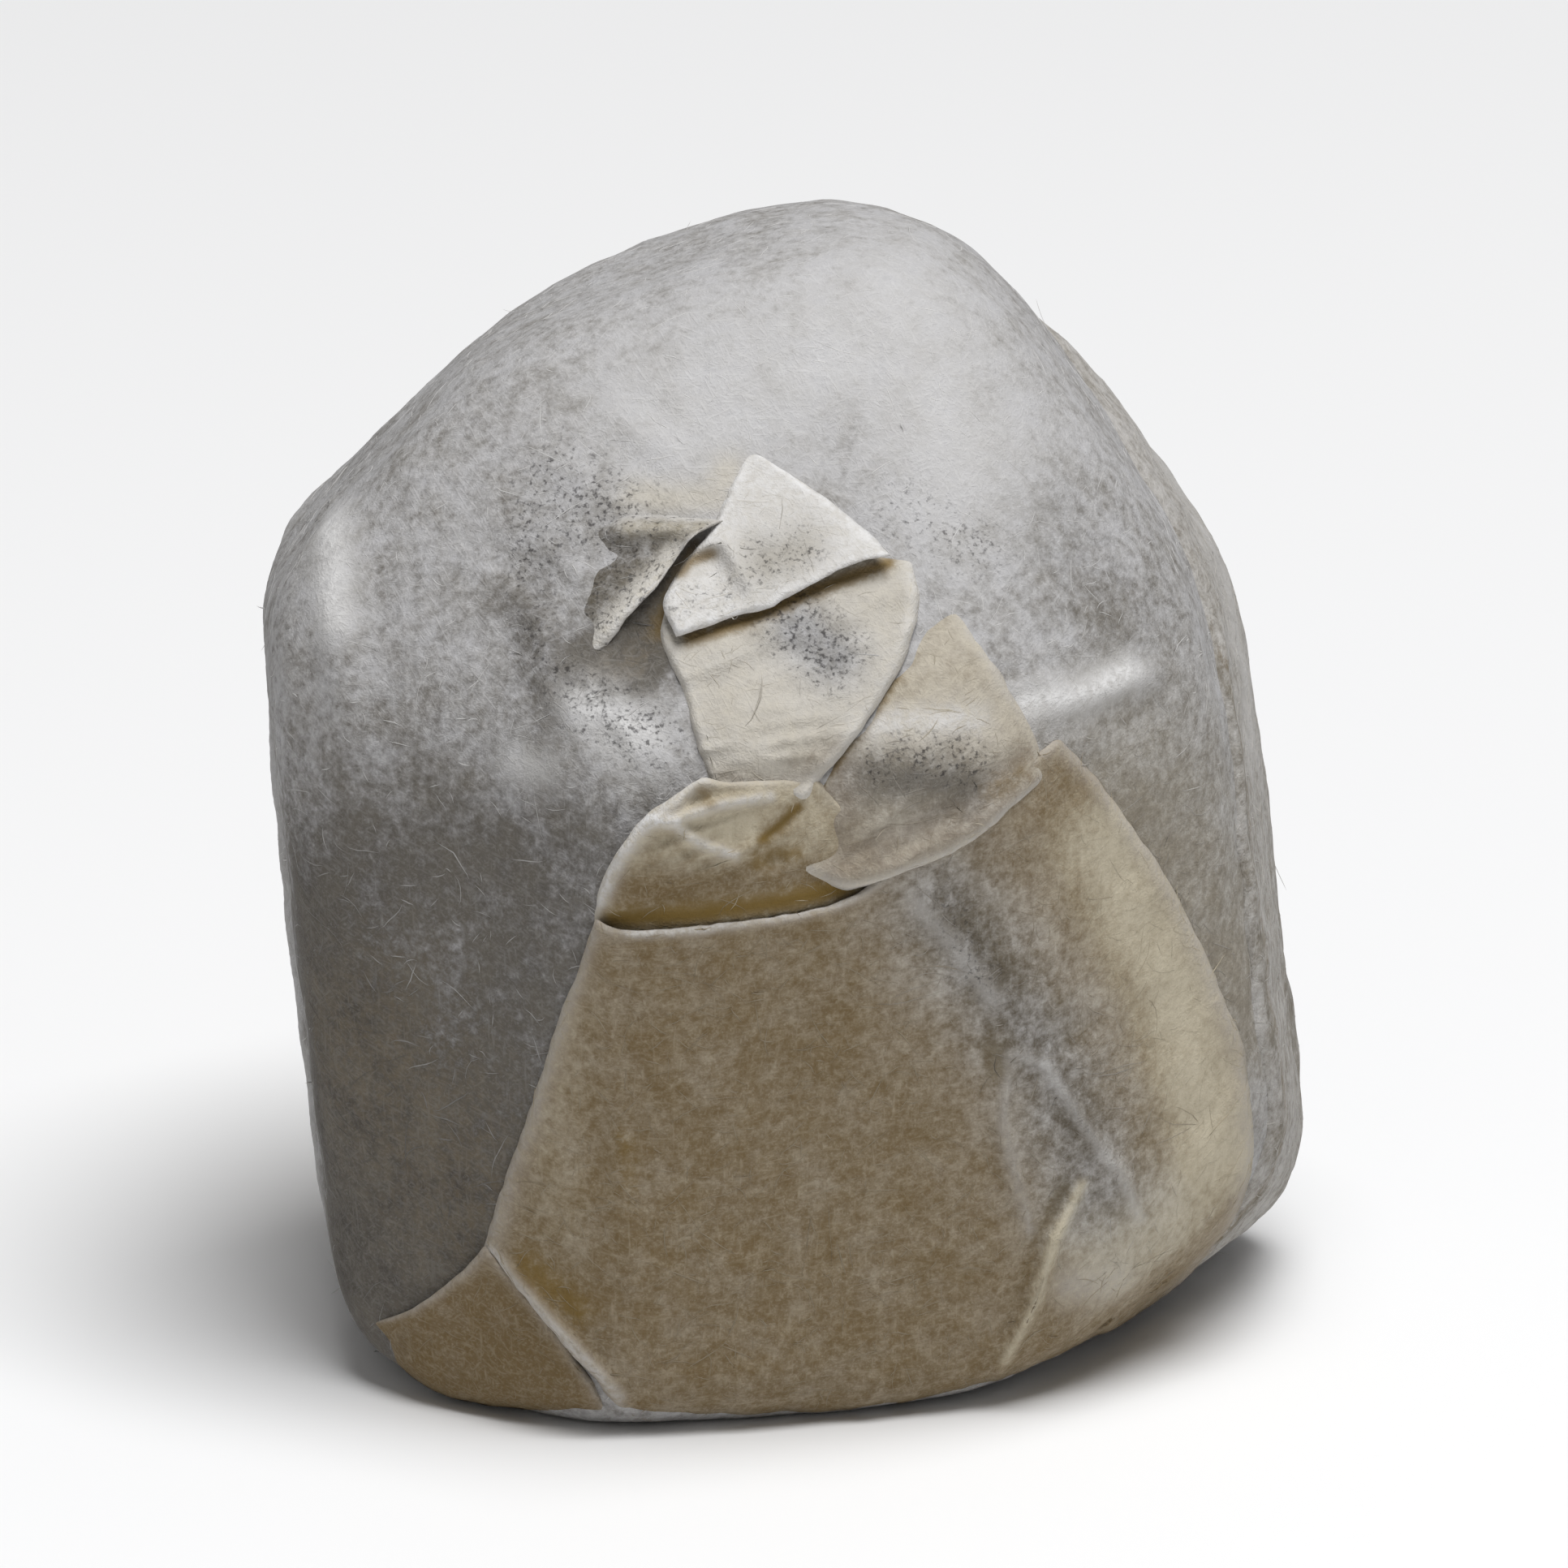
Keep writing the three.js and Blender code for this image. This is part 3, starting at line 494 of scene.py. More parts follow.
def unit(vectors):
    return vectors / np.linalg.norm(vectors, axis=-1, keepdims=True)


def outward(points):
    return unit(outside(points)[1])


def reach(starts, ways, heights=0):
    """Where rays from inside the polyhedron come to heights above it."""
    far = np.full(len(starts), BEYOND)
    for _ in range(NEWTON_STEPS):
        gap, growth = outside(starts + ways * far[:, None])
        far -= (gap - heights) / np.maximum((growth * ways).sum(-1), 0.02)
    return starts + ways * far[:, None]


def shown(view, spots, heights):
    """The points at heights above the polyhedron that a view shows at (right, up), or the nearest."""
    right, up, eye = axes(view)
    start = spots[:, :1] * right + spots[:, 1:] * up
    near = np.full(len(spots), -SEARCH_REACH)
    far = -near
    for _ in range(SEARCH_STEPS):
        third = (far - near) / 3
        lower = outside(start + eye * (near + third)[:, None])[0]
        upper = outside(start + eye * (far - third)[:, None])[0]
        nearer = lower < upper
        far = np.where(nearer, far - third, far)
        near = np.where(nearer, near, near + third)
    deepest = start + eye * ((near + far) / 2)[:, None]
    gap, growth = outside(deepest)
    seen = reach(deepest, np.broadcast_to(eye, deepest.shape), heights)
    beside = deepest + (heights - gap)[:, None] * unit(growth)
    return np.where((gap < heights)[:, None], seen, beside)


def random_relief(points, size, seed):
    """Smooth random heights from -1 to 1 that change over about the given size."""
    side = 32
    table = np.random.default_rng(seed).uniform(-1, 1, (side, side, side))
    cell = np.floor(points / size).astype(int)
    part = points / size - cell
    part = part * part * (3 - 2 * part)
    height = np.zeros(len(points))
    for corner in itertools.product((0, 1), repeat=3):
        share = np.prod(np.where(corner, part, 1 - part), axis=-1)
        x, y, z = ((cell + corner) % side).T
        height += share * table[x, y, z]
    return height


def smooth_line(points, shares):
    """Points at shares of the length of a smooth line, which turns sharply at doubled points."""
    stops = [np.array(p, float) for p in points]
    runs = [[stops[0]]]
    for previous, stop in itertools.pairwise(stops):
        if np.array_equal(previous, stop):
            runs.append([])
        runs[-1].append(stop)
    dense = np.concatenate([smooth_run(run) for run in runs if len(run) > 1] or [np.array(stops)])
    steps = np.linalg.norm(np.diff(dense, axis=0), axis=1)
    length = np.concatenate([[0], np.cumsum(steps)])
    wanted = np.asarray(shares) * length[-1]
    spots = np.stack([np.interp(wanted, length, dense[:, k]) for k in (0, 1)], -1)
    return spots, length[-1]


def smooth_run(run):
    """A smooth curve through the points: a cubic between each two, with no slope above the chord."""
    ends = [2 * run[0] - run[1], *run, 2 * run[-1] - run[-2]]
    t = np.linspace(0, 1, 24)[:, None]
    pieces = []
    for a, b, c, d in zip(ends, ends[1:], ends[2:], ends[3:]):
        chord = np.linalg.norm(c - b)
        slopes = ((c - a) / 2, (d - b) / 2)
        slope_b, slope_c = (s * min(1, chord / max(np.linalg.norm(s), 1e-9)) for s in slopes)
        pieces.append(
            (2 * t**3 - 3 * t**2 + 1) * b
            + (t**3 - 2 * t**2 + t) * slope_b
            + (3 * t**2 - 2 * t**3) * c
            + (t**3 - t**2) * slope_c
        )
    return np.concatenate(pieces)


def line_distance(spots, points):
    """How far spots lie from a line through some points, and the share of the line they are at."""
    ends = np.array(points, float)
    steps = np.linalg.norm(np.diff(ends, axis=0), axis=1)
    before = np.concatenate([[0], np.cumsum(steps)])
    best = np.full(len(spots), np.inf)
    share = np.zeros(len(spots))
    for start, end, step, run in zip(ends, ends[1:], steps, before):
        along = np.clip(((spots - start) @ (end - start)) / step**2, 0, 1)
        gap = np.linalg.norm(spots - start - along[:, None] * (end - start), axis=1)
        nearer = gap < best
        best = np.where(nearer, gap, best)
        share = np.where(nearer, (run + along * step) / before[-1], share)
    return best, share


def facing(view, normals):
    """1 on what faces a view's eye, down to 0 on what faces away."""
    turned = np.clip((normals @ axes(view)[2] - 0.05) / 0.25, 0, 1)
    return turned * turned * (3 - 2 * turned)


def in_view(view, points):
    right, up, _ = axes(view)
    return np.stack([points @ right, points @ up], -1)


def drawn_on(layer, table):
    """The view and the entry of each thing that a table draws on a layer."""
    for (on, view), entries in table.items():
        if on == layer:
            for entry in entries:
                yield view, entry


def bell(gap, half_width):
    """1 on a line, and 1 / e at its half width."""
    return np.exp(-((gap / half_width) ** 2))


def crease_heights(layer, points, normals):
    """The heights of creases, which die out towards both their ends."""
    height = np.zeros(len(points))
    for view, (line, half_width, rise) in drawn_on(layer, CREASES):
        gap, share = line_distance(in_view(view, points), line)
        fade = np.sin(math.pi * (0.04 + 0.92 * share)) ** 0.7
        height += rise * fade * bell(gap, half_width) * facing(view, normals)
    return height


def gather_heights(layer, points, normals):
    """Fine pleats where the paper is drawn together."""
    height = np.zeros(len(points))
    for number, (on, view, line, width, degrees, spacing, rise) in enumerate(GATHERS):
        if on == layer:
            spots = in_view(view, points)
            gap = line_distance(spots, line)[0]
            turn = math.radians(degrees)
            along = spots @ (math.cos(turn), math.sin(turn))
            across = spots @ (-math.sin(turn), math.cos(turn))
            where = np.stack([along / GATHER_STRETCH, across, np.full(len(points), 7.3 * number)], -1)
            pleats = 1 - 2 * np.abs(random_relief(where, spacing, 31 + number))
            height += rise * bell(gap, width) * facing(view, normals) * pleats
    return height


def look_of(layer, points, normals):
    """The amount of each kind of look at points of a layer."""
    look = {kind: np.full(len(points), BASE_LOOK[layer].get(kind, 0.0)) for kind in KINDS}
    for view, (line, changes) in drawn_on(layer, MARKS):
        gap = line_distance(in_view(view, points), line)[0]
        for kind, (half_width, change) in changes.items():
            look[kind] += change * bell(gap, half_width) * facing(view, normals)
    return look


def place(points):
    """Millimetres of the layout to metres of the frame."""
    return (points + (0, SHIFT_BACK, 0)) * METRES


def add_thing(name, data):
    thing = bpy.data.objects.new(name, data)
    bpy.context.scene.collection.objects.link(thing)
    return thing


def aim(thing, place_at, target):
    """Puts a camera or a light in its place and turns it to its target."""
    thing.location = place_at
    thing.rotation_euler = (target - Vector(place_at)).to_track_quat("-Z", "Y").to_euler()


def make_mesh(name, points, faces, look, material):
    mesh = bpy.data.meshes.new(name)
    mesh.from_pydata(place(points).tolist(), [], faces)
    mesh.polygons.foreach_set("use_smooth", np.ones(len(mesh.polygons), dtype=bool))
    for kind, amounts in look.items():
        values = mesh.attributes.new(kind, "FLOAT", "POINT")
        values.data.foreach_set("value", np.clip(amounts, 0, MOST_LOOK).astype(np.float32))
    mesh.materials.append(material)
    piece = add_thing(name, mesh)
    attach(piece, "root")
    return piece


def ball_directions(steps):
    """Directions spread evenly over a ball, and the four-sided faces between them."""
    t = np.tan(np.linspace(-1, 1, steps + 1) * math.pi / 4)
    a, b = np.meshgrid(t, t)
    sheets = []
    for axis, sign in itertools.product(range(3), (1, -1)):
        sheet = np.stack([np.full_like(a, sign), sign * a, b], -1).reshape(-1, 3)
        sheets.append(np.roll(sheet, axis, axis=-1))
    ways = unit(np.concatenate(sheets))
    count = (steps + 1) ** 2
    quads = grid_faces(np.arange(count).reshape(a.shape))
    quads = np.concatenate([quads + k * count for k in range(len(sheets))])
    _, first, twin = np.unique(np.round(ways, 6), axis=0, return_index=True, return_inverse=True)
    return ways[first], twin.ravel()[quads]


def grid_faces(grid):
    corners = (grid[:-1, :-1], grid[:-1, 1:], grid[1:, 1:], grid[1:, :-1])
    return np.stack(corners, -1).reshape(-1, 4)


def in_triangle(spots, triangle):
    """How far inside a triangle spots lie: 0 up to its sides and 1 from the slope's width inwards."""
    corners = np.array(triangle, float)
    middle = corners.mean(0)
    depth = np.full(len(spots), np.inf)
    for a, b in zip(corners, np.roll(corners, -1, axis=0)):
        across = np.array([-(b - a)[1], (b - a)[0]])
        across *= np.sign((middle - a) @ across) / np.linalg.norm(across)
        depth = np.minimum(depth, (spots - a) @ across)
    return np.clip(depth / FOOT_GAP_SLOPE, 0, 1)


def soft_bumps(points):
    """The uneven tea under the paper, and the paper's own cockles."""
    return sum(
        height * random_relief(points, size, seed) for seed, (height, size) in enumerate(TEA_BUMPS, 1)
    )


def make_skin(material):
    """The wrapper's bare skin, tight over the tea."""
    ways, faces = ball_directions(SKIN_STEPS)
    points = reach(np.broadcast_to(MIDDLE, ways.shape), ways)
    normals = outward(points)
    look = look_of("skin", points, normals)
    heights = soft_bumps(points) + crease_heights("skin", points, normals)
    heights += gather_heights("skin", points, normals)
    points = points + normals * heights[:, None]
    points[:, 2] = np.maximum(points[:, 2], SKIN_CLEAR)
    for gap in FOOT_GAPS:
        low = points[:, 2] < 2 * FOOT_GAP_DEPTH
        raised = FOOT_GAP_DEPTH * in_triangle(points[:, :2], gap)
        points[:, 2] = np.where(low, np.maximum(points[:, 2], raised), points[:, 2])
    return make_mesh("paper_skin", points, faces.tolist(), look, material)


def side_line(flap, side):
    """One side of a flap, with the corners at its ends."""
    low_left, low_right, high_right, high_left = flap["corners"]
    start = {"right": low_right, "top": high_left}.get(side, low_left)
    end = {"left": high_left, "bottom": low_right}.get(side, high_right)
    return [start, *flap[side][0], end]


def flap_spots(flap, columns, rows):
    """The (right, up) spots of a grid over a flap, drawn between its four sides."""
    u, v = np.linspace(0, 1, columns + 1), np.linspace(0, 1, rows + 1)
    left, right = (smooth_line(side_line(flap, side), v)[0][:, None] for side in ("left", "right"))
    bottom, top = (smooth_line(side_line(flap, side), u)[0][None] for side in ("bottom", "top"))
    u, v = u[None, :, None], v[:, None, None]
    from_sides = left * (1 - u) + right * u
    from_ends = bottom * (1 - v) + top * v
    low_corners = left[:1] * (1 - u) + right[:1] * u
    high_corners = left[-1:] * (1 - u) + right[-1:] * u
    return from_sides + from_ends - (low_corners * (1 - v) + high_corners * v)


def between(ends, share):
    """A value between two ends, or the one value that is the same all along."""
    return ends[0] * (1 - share) + ends[1] * share if isinstance(ends, tuple) else ends + 0 * share


def side_lift(rise, distance):
    """How far a flap stands off its level near one side, with the side's own turned-down fold."""
    curl = PAPER * np.clip(1 - rise / OPEN_RISE, LEAST_CURL, 1)
    turned = np.clip(1 - distance / CURL_WIDTH, 0, 1)
    return rise * bell(distance, RISE_WIDTH) - curl * turned**2


def ragged(spots, seed):
    """Spots moved a little, so that no edge is drawn with a ruler."""
    where = np.concatenate([spots, np.full((len(spots), 1), 5.3 * seed)], axis=1)
    for first, (most, size) in ((seed + 60, EDGE_DRIFT), (seed + 62, EDGE_FRAY)):
        moves = [random_relief(where, size, first), random_relief(where, size, first + 1)]
        spots = spots + most * np.stack(moves, -1)
    return spots


def stand_off(flap, lengths, u, v):
    """How high a flap stands at shares u to the right and v upwards, and how near a folded side."""
    wide = lengths["bottom"] * (1 - v) + lengths["top"] * v
    tall = max(lengths["left"], lengths["right"])
    gaps = {"left": u * wide, "right": (1 - u) * wide, "bottom": v * tall, "top": (1 - v) * tall}
    shares = {"left": v, "right": v, "bottom": u, "top": u}
    heights = between(flap["level"], v) * PAPER
    rims = np.zeros(len(u))
    for side, gap in gaps.items():
        rise = between(flap[side][1], shares[side])
        heights = heights + side_lift(rise, gap)
        rims = np.maximum(rims, bell(gap, RIM_WIDTH) * np.clip(1 + 3 * rise, 0, 1))
    return heights, rims


def sheet_faces(columns, rows):
    """The faces of a closed sheet, whose outer grid of points comes before its inner one."""
    count = (rows + 1) * (columns + 1)
    grid = np.arange(count).reshape(rows + 1, columns + 1)
    rim = np.concatenate([grid[0], grid[1:, -1], grid[-1, -2::-1], grid[-2:0:-1, 0]])
    walls = np.stack([rim, np.roll(rim, -1), np.roll(rim, -1) + count, rim + count], -1)
    sides = [grid_faces(grid), grid_faces(grid + count)[:, ::-1], walls[:, ::-1]]
    return np.concatenate(sides).tolist()


def make_flap(name, flap, seed, material):
    """One folded-over layer: a thin closed sheet that lies on those below it."""
    sides = ("left", "right", "bottom", "top")
    lengths = {side: smooth_line(side_line(flap, side), [0])[1] for side in sides}
    wide, tall = max(lengths["bottom"], lengths["top"]), max(lengths["left"], lengths["right"])
    view = flap["seen"]
    step = FRONT_STEP if view == "front" else OTHER_STEP
    columns, rows = (max(LEAST_STEPS, round(length / step)) for length in (wide, tall))
    spots = ragged(flap_spots(flap, columns, rows).reshape(-1, 2), seed)
    u, v = np.meshgrid(np.linspace(0, 1, columns + 1), np.linspace(0, 1, rows + 1))
    heights, rims = stand_off(flap, lengths, u.ravel(), v.ravel())
    surface = shown(view, spots, np.zeros(len(spots)))
    normals = outward(surface)
    bump, size = LAYER_BUMPS
    relief = soft_bumps(surface) + bump * random_relief(surface, size, seed)
    relief += crease_heights(name, surface, normals) + gather_heights(name, surface, normals)
    look = look_of(name, surface, normals)
    # Paler folded rims: doubled paper, and partly a painted highlight.
    look["white"] += RIM_PALENESS_AND_HIGHLIGHT * rims
    look["tea"] -= RIM_PALENESS_AND_HIGHLIGHT * rims
    outer = shown(view, spots, heights + relief)
    inner = outer - outward(outer) * SHEET
    points = np.concatenate([outer, inner])
    points[:, 2] = np.maximum(points[:, 2], 0)
    look = {kind: np.tile(amounts, 2) for kind, amounts in look.items()}
    return make_mesh(name, points, sheet_faces(columns, rows), look, material)


class Nodes:
    """Short ways to add shader nodes."""

    def __init__(self, material):
        self.tree = material.node_tree

    def add(self, kind, inputs=None, **settings):
        node = self.tree.nodes.new(kind)
        for name, value in settings.items():
            setattr(node, name, value)
        for name, value in (inputs or {}).items():
            self.put(node.inputs[name], value)
        return node

    def put(self, socket, value):
        if isinstance(value, bpy.types.NodeSocket):
            self.tree.links.new(value, socket)
        else:
            socket.default_value = value

    def math(self, operation, *values, clamp=False):
        inputs = dict(enumerate(values))
        return self.add("ShaderNodeMath", inputs, operation=operation, use_clamp=clamp).outputs[0]

    def times(self, a, b):
        return self.math("MULTIPLY", a, b)

    def centred(self, value, gain):
        """A noise value made to swing round zero."""
        return self.math("MULTIPLY_ADD", value, gain, -gain / 2)

    def noise(self, vector, scale, detail, roughness):
        inputs = {"Vector": vector, "Scale": scale, "Detail": detail, "Roughness": roughness}
        return self.add("ShaderNodeTexNoise", inputs).outputs["Fac"]

    def ramp(self, value, low, high):
        """0 below low, 1 above high and smooth between."""
        inputs = {"Value": value, "From Min": low, "From Max": high}
        return self.add("ShaderNodeMapRange", inputs, interpolation_type="SMOOTHSTEP").outputs[0]

    def mix(self, factor, a, b):
        """Colour a, turning into colour b as the factor grows."""
        return self.add("ShaderNodeMix", {0: factor, 6: a, 7: b}, data_type="RGBA").outputs[2]


def colour(*parts):
    """A colour given as the eye sees it, 0 to 255, for a shader's colour socket."""
    shares = [part / 255 for part in parts]
    return *(s / 12.92 if s <= 0.04045 else ((s + 0.055) / 1.055) ** 2.4 for s in shares), 1.0


TEA_DARK = colour(54, 47, 36)
TIGHT_PAPER = colour(171, 170, 171)
CREAM_PAPER = colour(192, 183, 162)
DEEP_PAPER = colour(111, 93, 64)
WHITE_PAPER = colour(214, 213, 212)
# Painted shade: the yellow brown of light through the paper inside a fold or under an edge.
FOLD_SHADE = colour(116, 93, 42)
SPECK = colour(38, 35, 36)

# The ways that the long fibres of the paper run, as turns about X, Y and Z in degrees.
STREAK_TURNS = [
    (0, 90, 0), (0, 75, 20), (0, 105, -25), (0, 60, 50),
    (0, 120, -50), (0, 0, 0), (45, 35, 0), (-45, 35, 60),
]


def fibre_streaks(nodes, where):
    """Thin bright streaks in many directions, as the long fibres of the paper lie."""
    streaks = None
    for number, turns in enumerate(STREAK_TURNS):
        inputs = {
            "Vector": where,
            "Rotation": [math.radians(turn) for turn in turns],
            "Location": (number * 7.0, 0, 0),
            "Scale": (0.1, 0.1, 0.9),
        }
        turned = nodes.add("ShaderNodeMapping", inputs, vector_type="TEXTURE").outputs[0]
        ridge = nodes.ramp(nodes.noise(turned, 1.0, 1.0, 0.4), 0.56, 0.78)
        streaks = ridge if streaks is None else nodes.math("MAXIMUM", streaks, ridge)
    return streaks


def new_material(name, roughness, shine=0.5):
    """A material, its nodes and its shader."""
    material = bpy.data.materials.new(name)
    material.use_nodes = True
    nodes = Nodes(material)
    shader = nodes.tree.nodes["Principled BSDF"]
    nodes.put(shader.inputs["Roughness"], roughness)
    nodes.put(shader.inputs["Specular IOR Level"], shine)
    return material, nodes, shader


def amount(nodes, kind):
    return nodes.add("ShaderNodeAttribute", attribute_name=kind).outputs["Fac"]


def paper_material():
    """Thin fibrous paper over dark tea: grey where it lies tight, cream where it is doubled."""
    material, nodes, shader = new_material("fibrous_paper", 0.85, 0.2)
    where = nodes.add("ShaderNodeTexCoord").outputs["Object"]
    inputs = {0: where, 1: [1 / METRES] * 3}
    where = nodes.add("ShaderNodeVectorMath", inputs, operation="MULTIPLY").outputs[0]
    cream, tea, white, deep, fold, speckle = (amount(nodes, kind) for kind in KINDS)

    blotches = nodes.centred(nodes.noise(where, 0.7, 4.0, 0.65), 1.4)
    grain = nodes.centred(nodes.noise(where, 3.0, 3.0, 0.7), 1.9)
    uneven = nodes.math("ADD", blotches, grain)
    streaks = fibre_streaks(nodes, where)

    # Tea that shows in patches through tight paper.
    patchy = nodes.times(uneven, nodes.math("MULTIPLY_ADD", tea, -0.15, 0.85))
    through = nodes.math("ADD", patchy, tea)
    through = nodes.times(nodes.ramp(through, 0.0, 1.1), 0.95)
    tight = nodes.mix(through, TIGHT_PAPER, TEA_DARK)

    # Doubled paper over it, warmer where it is deep.
    warm = nodes.math("MULTIPLY_ADD", blotches, 0.32, deep)
    warm = nodes.ramp(nodes.math("MULTIPLY_ADD", grain, 0.5, warm), -0.15, 1.1)
    doubled = nodes.mix(warm, CREAM_PAPER, DEEP_PAPER)
    cover = nodes.math("ADD", cream, nodes.times(blotches, 0.22), clamp=True)
    paper = nodes.mix(cover, tight, doubled)

    # Paper lifted off the tea, pale fibres, and painted shade inside folds and under edges.
    lifted = nodes.times(nodes.ramp(grain, -0.35, 0.25), 0.5)
    lifted = nodes.math("MULTIPLY", nodes.math("ADD", lifted, 0.4), white, clamp=True)
    paper = nodes.mix(lifted, paper, WHITE_PAPER)
    frost = nodes.math("MULTIPLY_ADD", through, -0.12, 0.2)
    thread = nodes.mix(cover, WHITE_PAPER, CREAM_PAPER)
    paper = nodes.mix(nodes.times(streaks, frost), paper, thread)
    # Painted shade: the fold amount turns the paper yellow brown, as light through paper in a fold.
    inside = nodes.times(fold, nodes.ramp(nodes.math("ADD", grain, fold), -0.2, 0.7))
    paper = nodes.mix(inside, paper, FOLD_SHADE)

    # Leaf dust.
    dust = nodes.math("MULTIPLY_ADD", speckle, 0.1, nodes.noise(where, 6.5, 2.0, 0.6))
    dust = nodes.math("ADD", dust, nodes.times(blotches, 0.14))
    dust = nodes.times(nodes.ramp(dust, 0.58, 0.8), nodes.ramp(speckle, 0.1, 0.8))
    paper = nodes.mix(nodes.times(dust, 0.75), paper, SPECK)

    height = nodes.math("MULTIPLY_ADD", grain, 0.6, nodes.times(streaks, 0.2))
    inputs = {"Height": height, "Strength": 0.6, "Distance": 0.09 * METRES}
    bump = nodes.add("ShaderNodeBump", inputs).outputs[0]
    nodes.put(shader.inputs["Base Color"], paper)
    nodes.put(shader.inputs["Normal"], bump)
    return material


def fibre_material():
    """The loose fibres, a little lighter than the paper that they lie on."""
    material, nodes, shader = new_material("paper_fibre", 0.6, 0.3)
    tone = nodes.mix(amount(nodes, "cream"), WHITE_PAPER, CREAM_PAPER)
    tone = nodes.mix(nodes.times(amount(nodes, "deep"), 0.75), tone, DEEP_PAPER)
    tone = nodes.mix(nodes.times(amount(nodes, "tea"), 0.6), tone, TEA_DARK)
    nodes.put(shader.inputs["Base Color"], tone)
    return material


# The loose fibres: their number, middle length and seed.
FIBRE_PIECES = {"short_fibres": (5200, 0.5, 21), "long_fibres": (1800, 1.3, 22)}
FIBRE_POINTS = 6
FIBRE_HALF_WIDTH = 0.022
FIBRE_HEIGHT = 0.01
FIBRE_LENGTHS = (0.25, 2.6)  # the shortest and the longest
FIBRE_CLEAR = 0.3  # how far above the ground they begin
BEND_ALL = 0.12  # how much a fibre bends at each step, all along
BEND_STEP = 0.15  # and how much that changes from step to step
STRAY_SHARE = 0.01  # fibres that stand off the paper
STRAY_HEIGHTS = (0.1, 0.45)
STUCK = 0.002  # a fibre whose line gets on by less than this somewhere is left out
GRAIN = (1.5, 1.0, 0.8)  # how strongly the fibres run along x, y and z

# A search tree of all pieces, and the corners, areas and looks of their triangles, in metres.
Surface = namedtuple("Surface", "tree corners areas looks")


def outermost(surface, rng, count):
    """Random spots on the outermost layer, the way out and the triangle there, clear of the ground."""
    areas = surface.areas
    picked = rng.choice(len(areas), 2 * count, p=areas / areas.sum())
    a, b = rng.random((2, 2 * count, 1))
    flip = a + b > 1
    a, b = np.where(flip, 1 - a, a), np.where(flip, 1 - b, b)
    first, second, third = (surface.corners[picked, k] for k in range(3))
    spots = first + a * (second - first) + b * (third - first)
    ways = unit(np.cross(second - first, third - first))
    found = []
    for spot, way in zip(spots, ways):
        start = Vector(spot + way * 4 * METRES)
        hit, normal, triangle, _ = surface.tree.ray_cast(start, -Vector(way))
        if hit is not None and hit.z > FIBRE_CLEAR * METRES:
            found.append((hit, normal, triangle))
        if len(found) == count:
            break
    return found


def fibre_paths(count, length, seed, surface):
    """The middle lines of fibres on the paper, the ways out along them and the triangles below."""
    rng = np.random.default_rng(seed)
    starts = outermost(surface, rng, count)
    lengths = rng.lognormal(math.log(length), 0.35, count).clip(*FIBRE_LENGTHS) * METRES
    bend = rng.normal(0, BEND_STEP, (count, FIBRE_POINTS)) + rng.normal(0, BEND_ALL, (count, 1))
    stray = rng.random(count) < STRAY_SHARE
    spring = rng.uniform(*STRAY_HEIGHTS, count) * METRES * stray
    paths = np.zeros((len(starts), FIBRE_POINTS, 3))
    ways_out = np.zeros_like(paths)
    for i, (spot, normal, _) in enumerate(starts):
        way = Vector(rng.normal(size=3) * GRAIN)
        way = (way - normal * way.dot(normal)).normalized()
        step = lengths[i] / (FIBRE_POINTS - 1)
        for k in range(FIBRE_POINTS):
            share = k / (FIBRE_POINTS - 1)
            paths[i, k] = spot + normal * spring[i] * share**1.5
            ways_out[i, k] = normal
            way = (way + normal.cross(way) * bend[i, k]).normalized()
            spot, normal, _, _ = surface.tree.find_nearest(spot + way * step)
            way = (way - normal * way.dot(normal)).normalized()
    onward = np.linalg.norm(np.cross(np.gradient(paths, axis=1), ways_out), axis=-1).min(axis=1)
    kept = onward > STUCK * METRES
    below = np.array([triangle for _, _, triangle in starts])
    return paths[kept], ways_out[kept], below[kept]


def ribbon_faces():
    """The faces of one fibre, whose points are its start, the rings of three along it and its end."""
    last = 1 + 3 * (FIBRE_POINTS - 3)
    faces = []
    for j, k in ((0, 1), (1, 2), (2, 0)):
        faces.append((0, 1 + j, 1 + k))
        for low in range(1, last, 3):
            faces.append((low + k, low + j, low + 3 + j, low + 3 + k))
        faces.append((last + k, last + j, last + 3))
    return faces


def make_fibres(name, count, length, seed, surface, material):
    """Many fibres as flat tapered ribbons with a low crest, joined in one piece."""
    paths, ways_out, below = fibre_paths(count, length, seed, surface)
    count = len(paths)
    rng = np.random.default_rng(seed + 50)
    side = unit(np.cross(np.gradient(paths, axis=1), ways_out))[:, 1:-1]
    middle, out = paths[:, 1:-1], ways_out[:, 1:-1]
    taper = np.sin(np.linspace(0.55, math.pi - 0.55, FIBRE_POINTS - 2))[None, :, None]
    broad = FIBRE_HALF_WIDTH * METRES * rng.uniform(0.5, 1.3, (count, 1, 1)) * taper
    sunk = out * FIBRE_HEIGHT * METRES / 3
    rings = [middle + side * broad - sunk, middle - side * broad - sunk, middle + 3 * sunk]
    rings = np.stack(rings, 2).reshape(count, -1, 3)
    points = np.concatenate([paths[:, :1], rings, paths[:, -1:]], axis=1)
    each = points.shape[1]
    faces = [tuple(n + each * i for n in face) for i in range(count) for face in ribbon_faces()]
    look = {kind: np.repeat(amounts[below], each) for kind, amounts in surface.looks.items()}
    flat = points.reshape(-1, 3) / METRES - (0, SHIFT_BACK, 0)
    return make_mesh(name, flat, faces, look, material)


def values_of(items, name, width, kind):
    """One property of all items of a mesh, as an array of the given width."""
    values = np.empty(len(items) * width, kind)
    items.foreach_get(name, values)
    return values.reshape(-1, width)


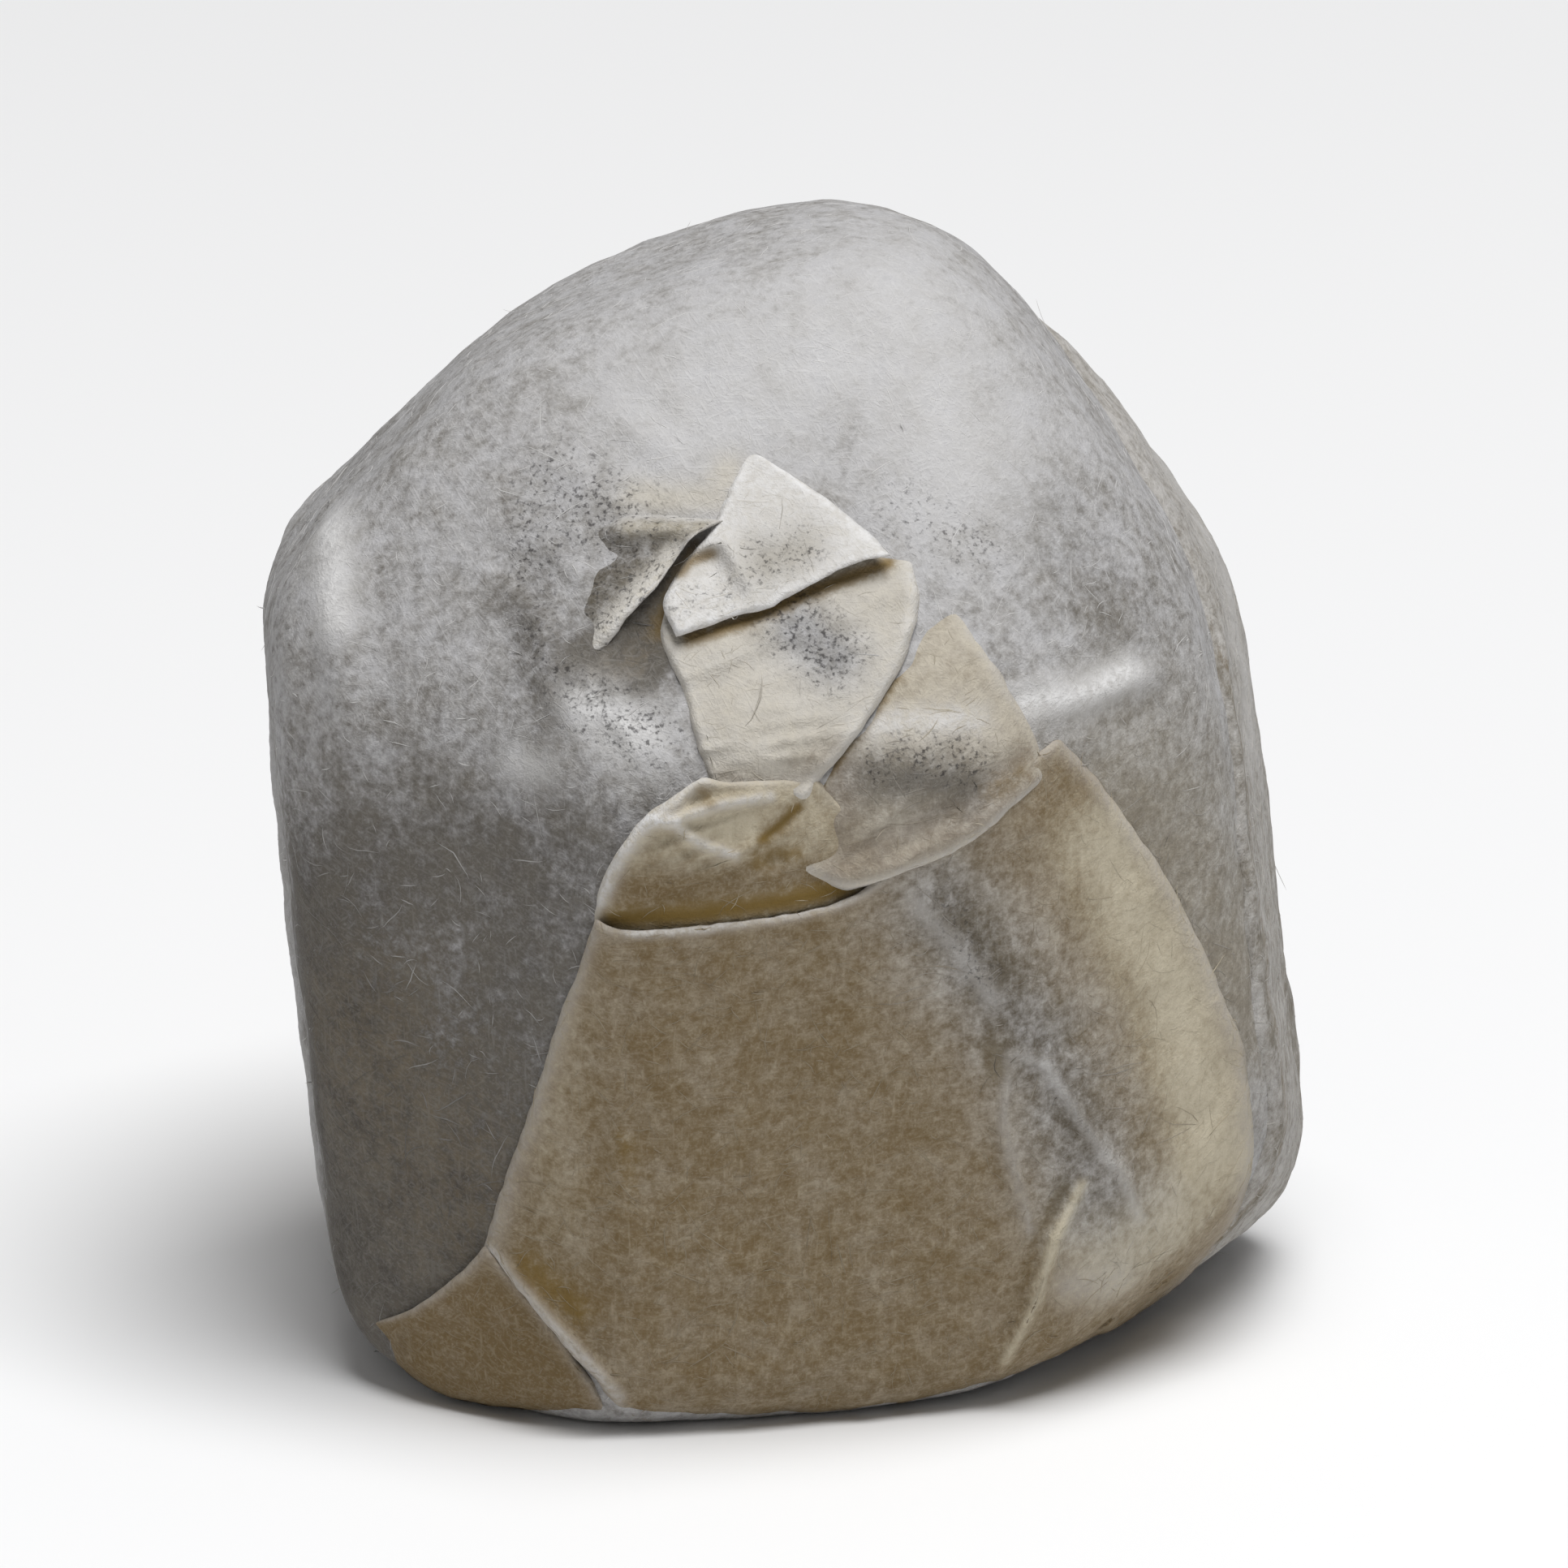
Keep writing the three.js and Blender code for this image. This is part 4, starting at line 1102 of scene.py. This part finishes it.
def surface_of(pieces):
    """The surface that the fibres lie on."""
    points, triangles, looks = [], [], []
    offset = 0
    for piece in pieces:
        mesh = piece.data
        mesh.calc_loop_triangles()
        points.append(values_of(mesh.vertices, "co", 3, np.float32))
        triangles.append(values_of(mesh.loop_triangles, "vertices", 3, np.int32) + offset)
        amounts = [values_of(mesh.attributes[kind].data, "value", 1, np.float32) for kind in KINDS]
        looks.append(np.hstack(amounts))
        offset += len(mesh.vertices)
    points, triangles, looks = (np.concatenate(found) for found in (points, triangles, looks))
    points = points.astype(float)
    tree = BVHTree.FromPolygons(points.tolist(), triangles.tolist())
    corners = points[triangles]
    crossed = np.cross(corners[:, 1] - corners[:, 0], corners[:, 2] - corners[:, 0])
    looks = dict(zip(KINDS, looks[triangles[:, 0]].T))
    return Surface(tree, corners, np.linalg.norm(crossed, axis=1) / 2, looks)


def make_camera():
    """The photograph's side and height, near enough for the serving to fill the frame."""
    target = Vector((0, 0, 16.2 * METRES))
    distance = 1.0
    frame_width = 0.0455
    camera = bpy.data.cameras.new("camera")
    camera.sensor_width = 36
    camera.lens = 36 * distance / frame_width
    camera.clip_end = 20
    holder = add_thing("camera", camera)
    aim(holder, target + Vector(direction(*VIEWS["front"])) * distance, target)
    bpy.context.scene.camera = holder


def make_light(name, place_at, size, power, tint):
    light = bpy.data.lights.new(name, "AREA")
    light.size = size
    light.energy = power
    light.color = tint
    aim(add_thing(name, light), place_at, Vector((0, 0, 0.015)))


def make_stage():
    floor_mesh = bpy.data.meshes.new("floor")
    half = 3.0
    corners = [(-half, -half, 0), (half, -half, 0), (half, half, 0), (-half, half, 0)]
    floor_mesh.from_pydata(corners, [], [(0, 1, 2, 3)])
    material, nodes, shader = new_material("pale_floor", 0.9)
    nodes.put(shader.inputs["Base Color"], (0.86, 0.86, 0.86, 1))
    floor_mesh.materials.append(material)
    floor = add_thing("floor", floor_mesh)


def make_lights():
    """A soft panel overhead, a weak one in front and an even pale room."""
    make_light("overhead_panel", (0.1, -0.14, 0.61), 0.38, 4.4, (0.985, 0.99, 1.0))
    make_light("front_fill", (-0.2, -0.8, 0.3), 0.5, 0.25, (1.0, 0.96, 0.9))
    world = bpy.data.worlds.new("studio")
    world.use_nodes = True
    background = world.node_tree.nodes["Background"]
    background.inputs["Color"].default_value = (1.0, 0.99, 0.98, 1)
    background.inputs["Strength"].default_value = 0.2
    bpy.context.scene.world = world


def build():
    make_camera()
    make_stage()
    make_lights()
    bpy.context.scene.view_settings.view_transform = "Standard"
    paper, fibre = paper_material(), fibre_material()
    pieces = [make_skin(paper)]
    pieces += [make_flap(name, flap, seed, paper) for seed, (name, flap) in enumerate(FLAPS.items())]
    surface = surface_of(pieces)
    for name, (count, length, seed) in FIBRE_PIECES.items():
        pieces.append(make_fibres(name, count, length, seed, surface, fibre))
    for piece in pieces:
        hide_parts(NODE)


build()
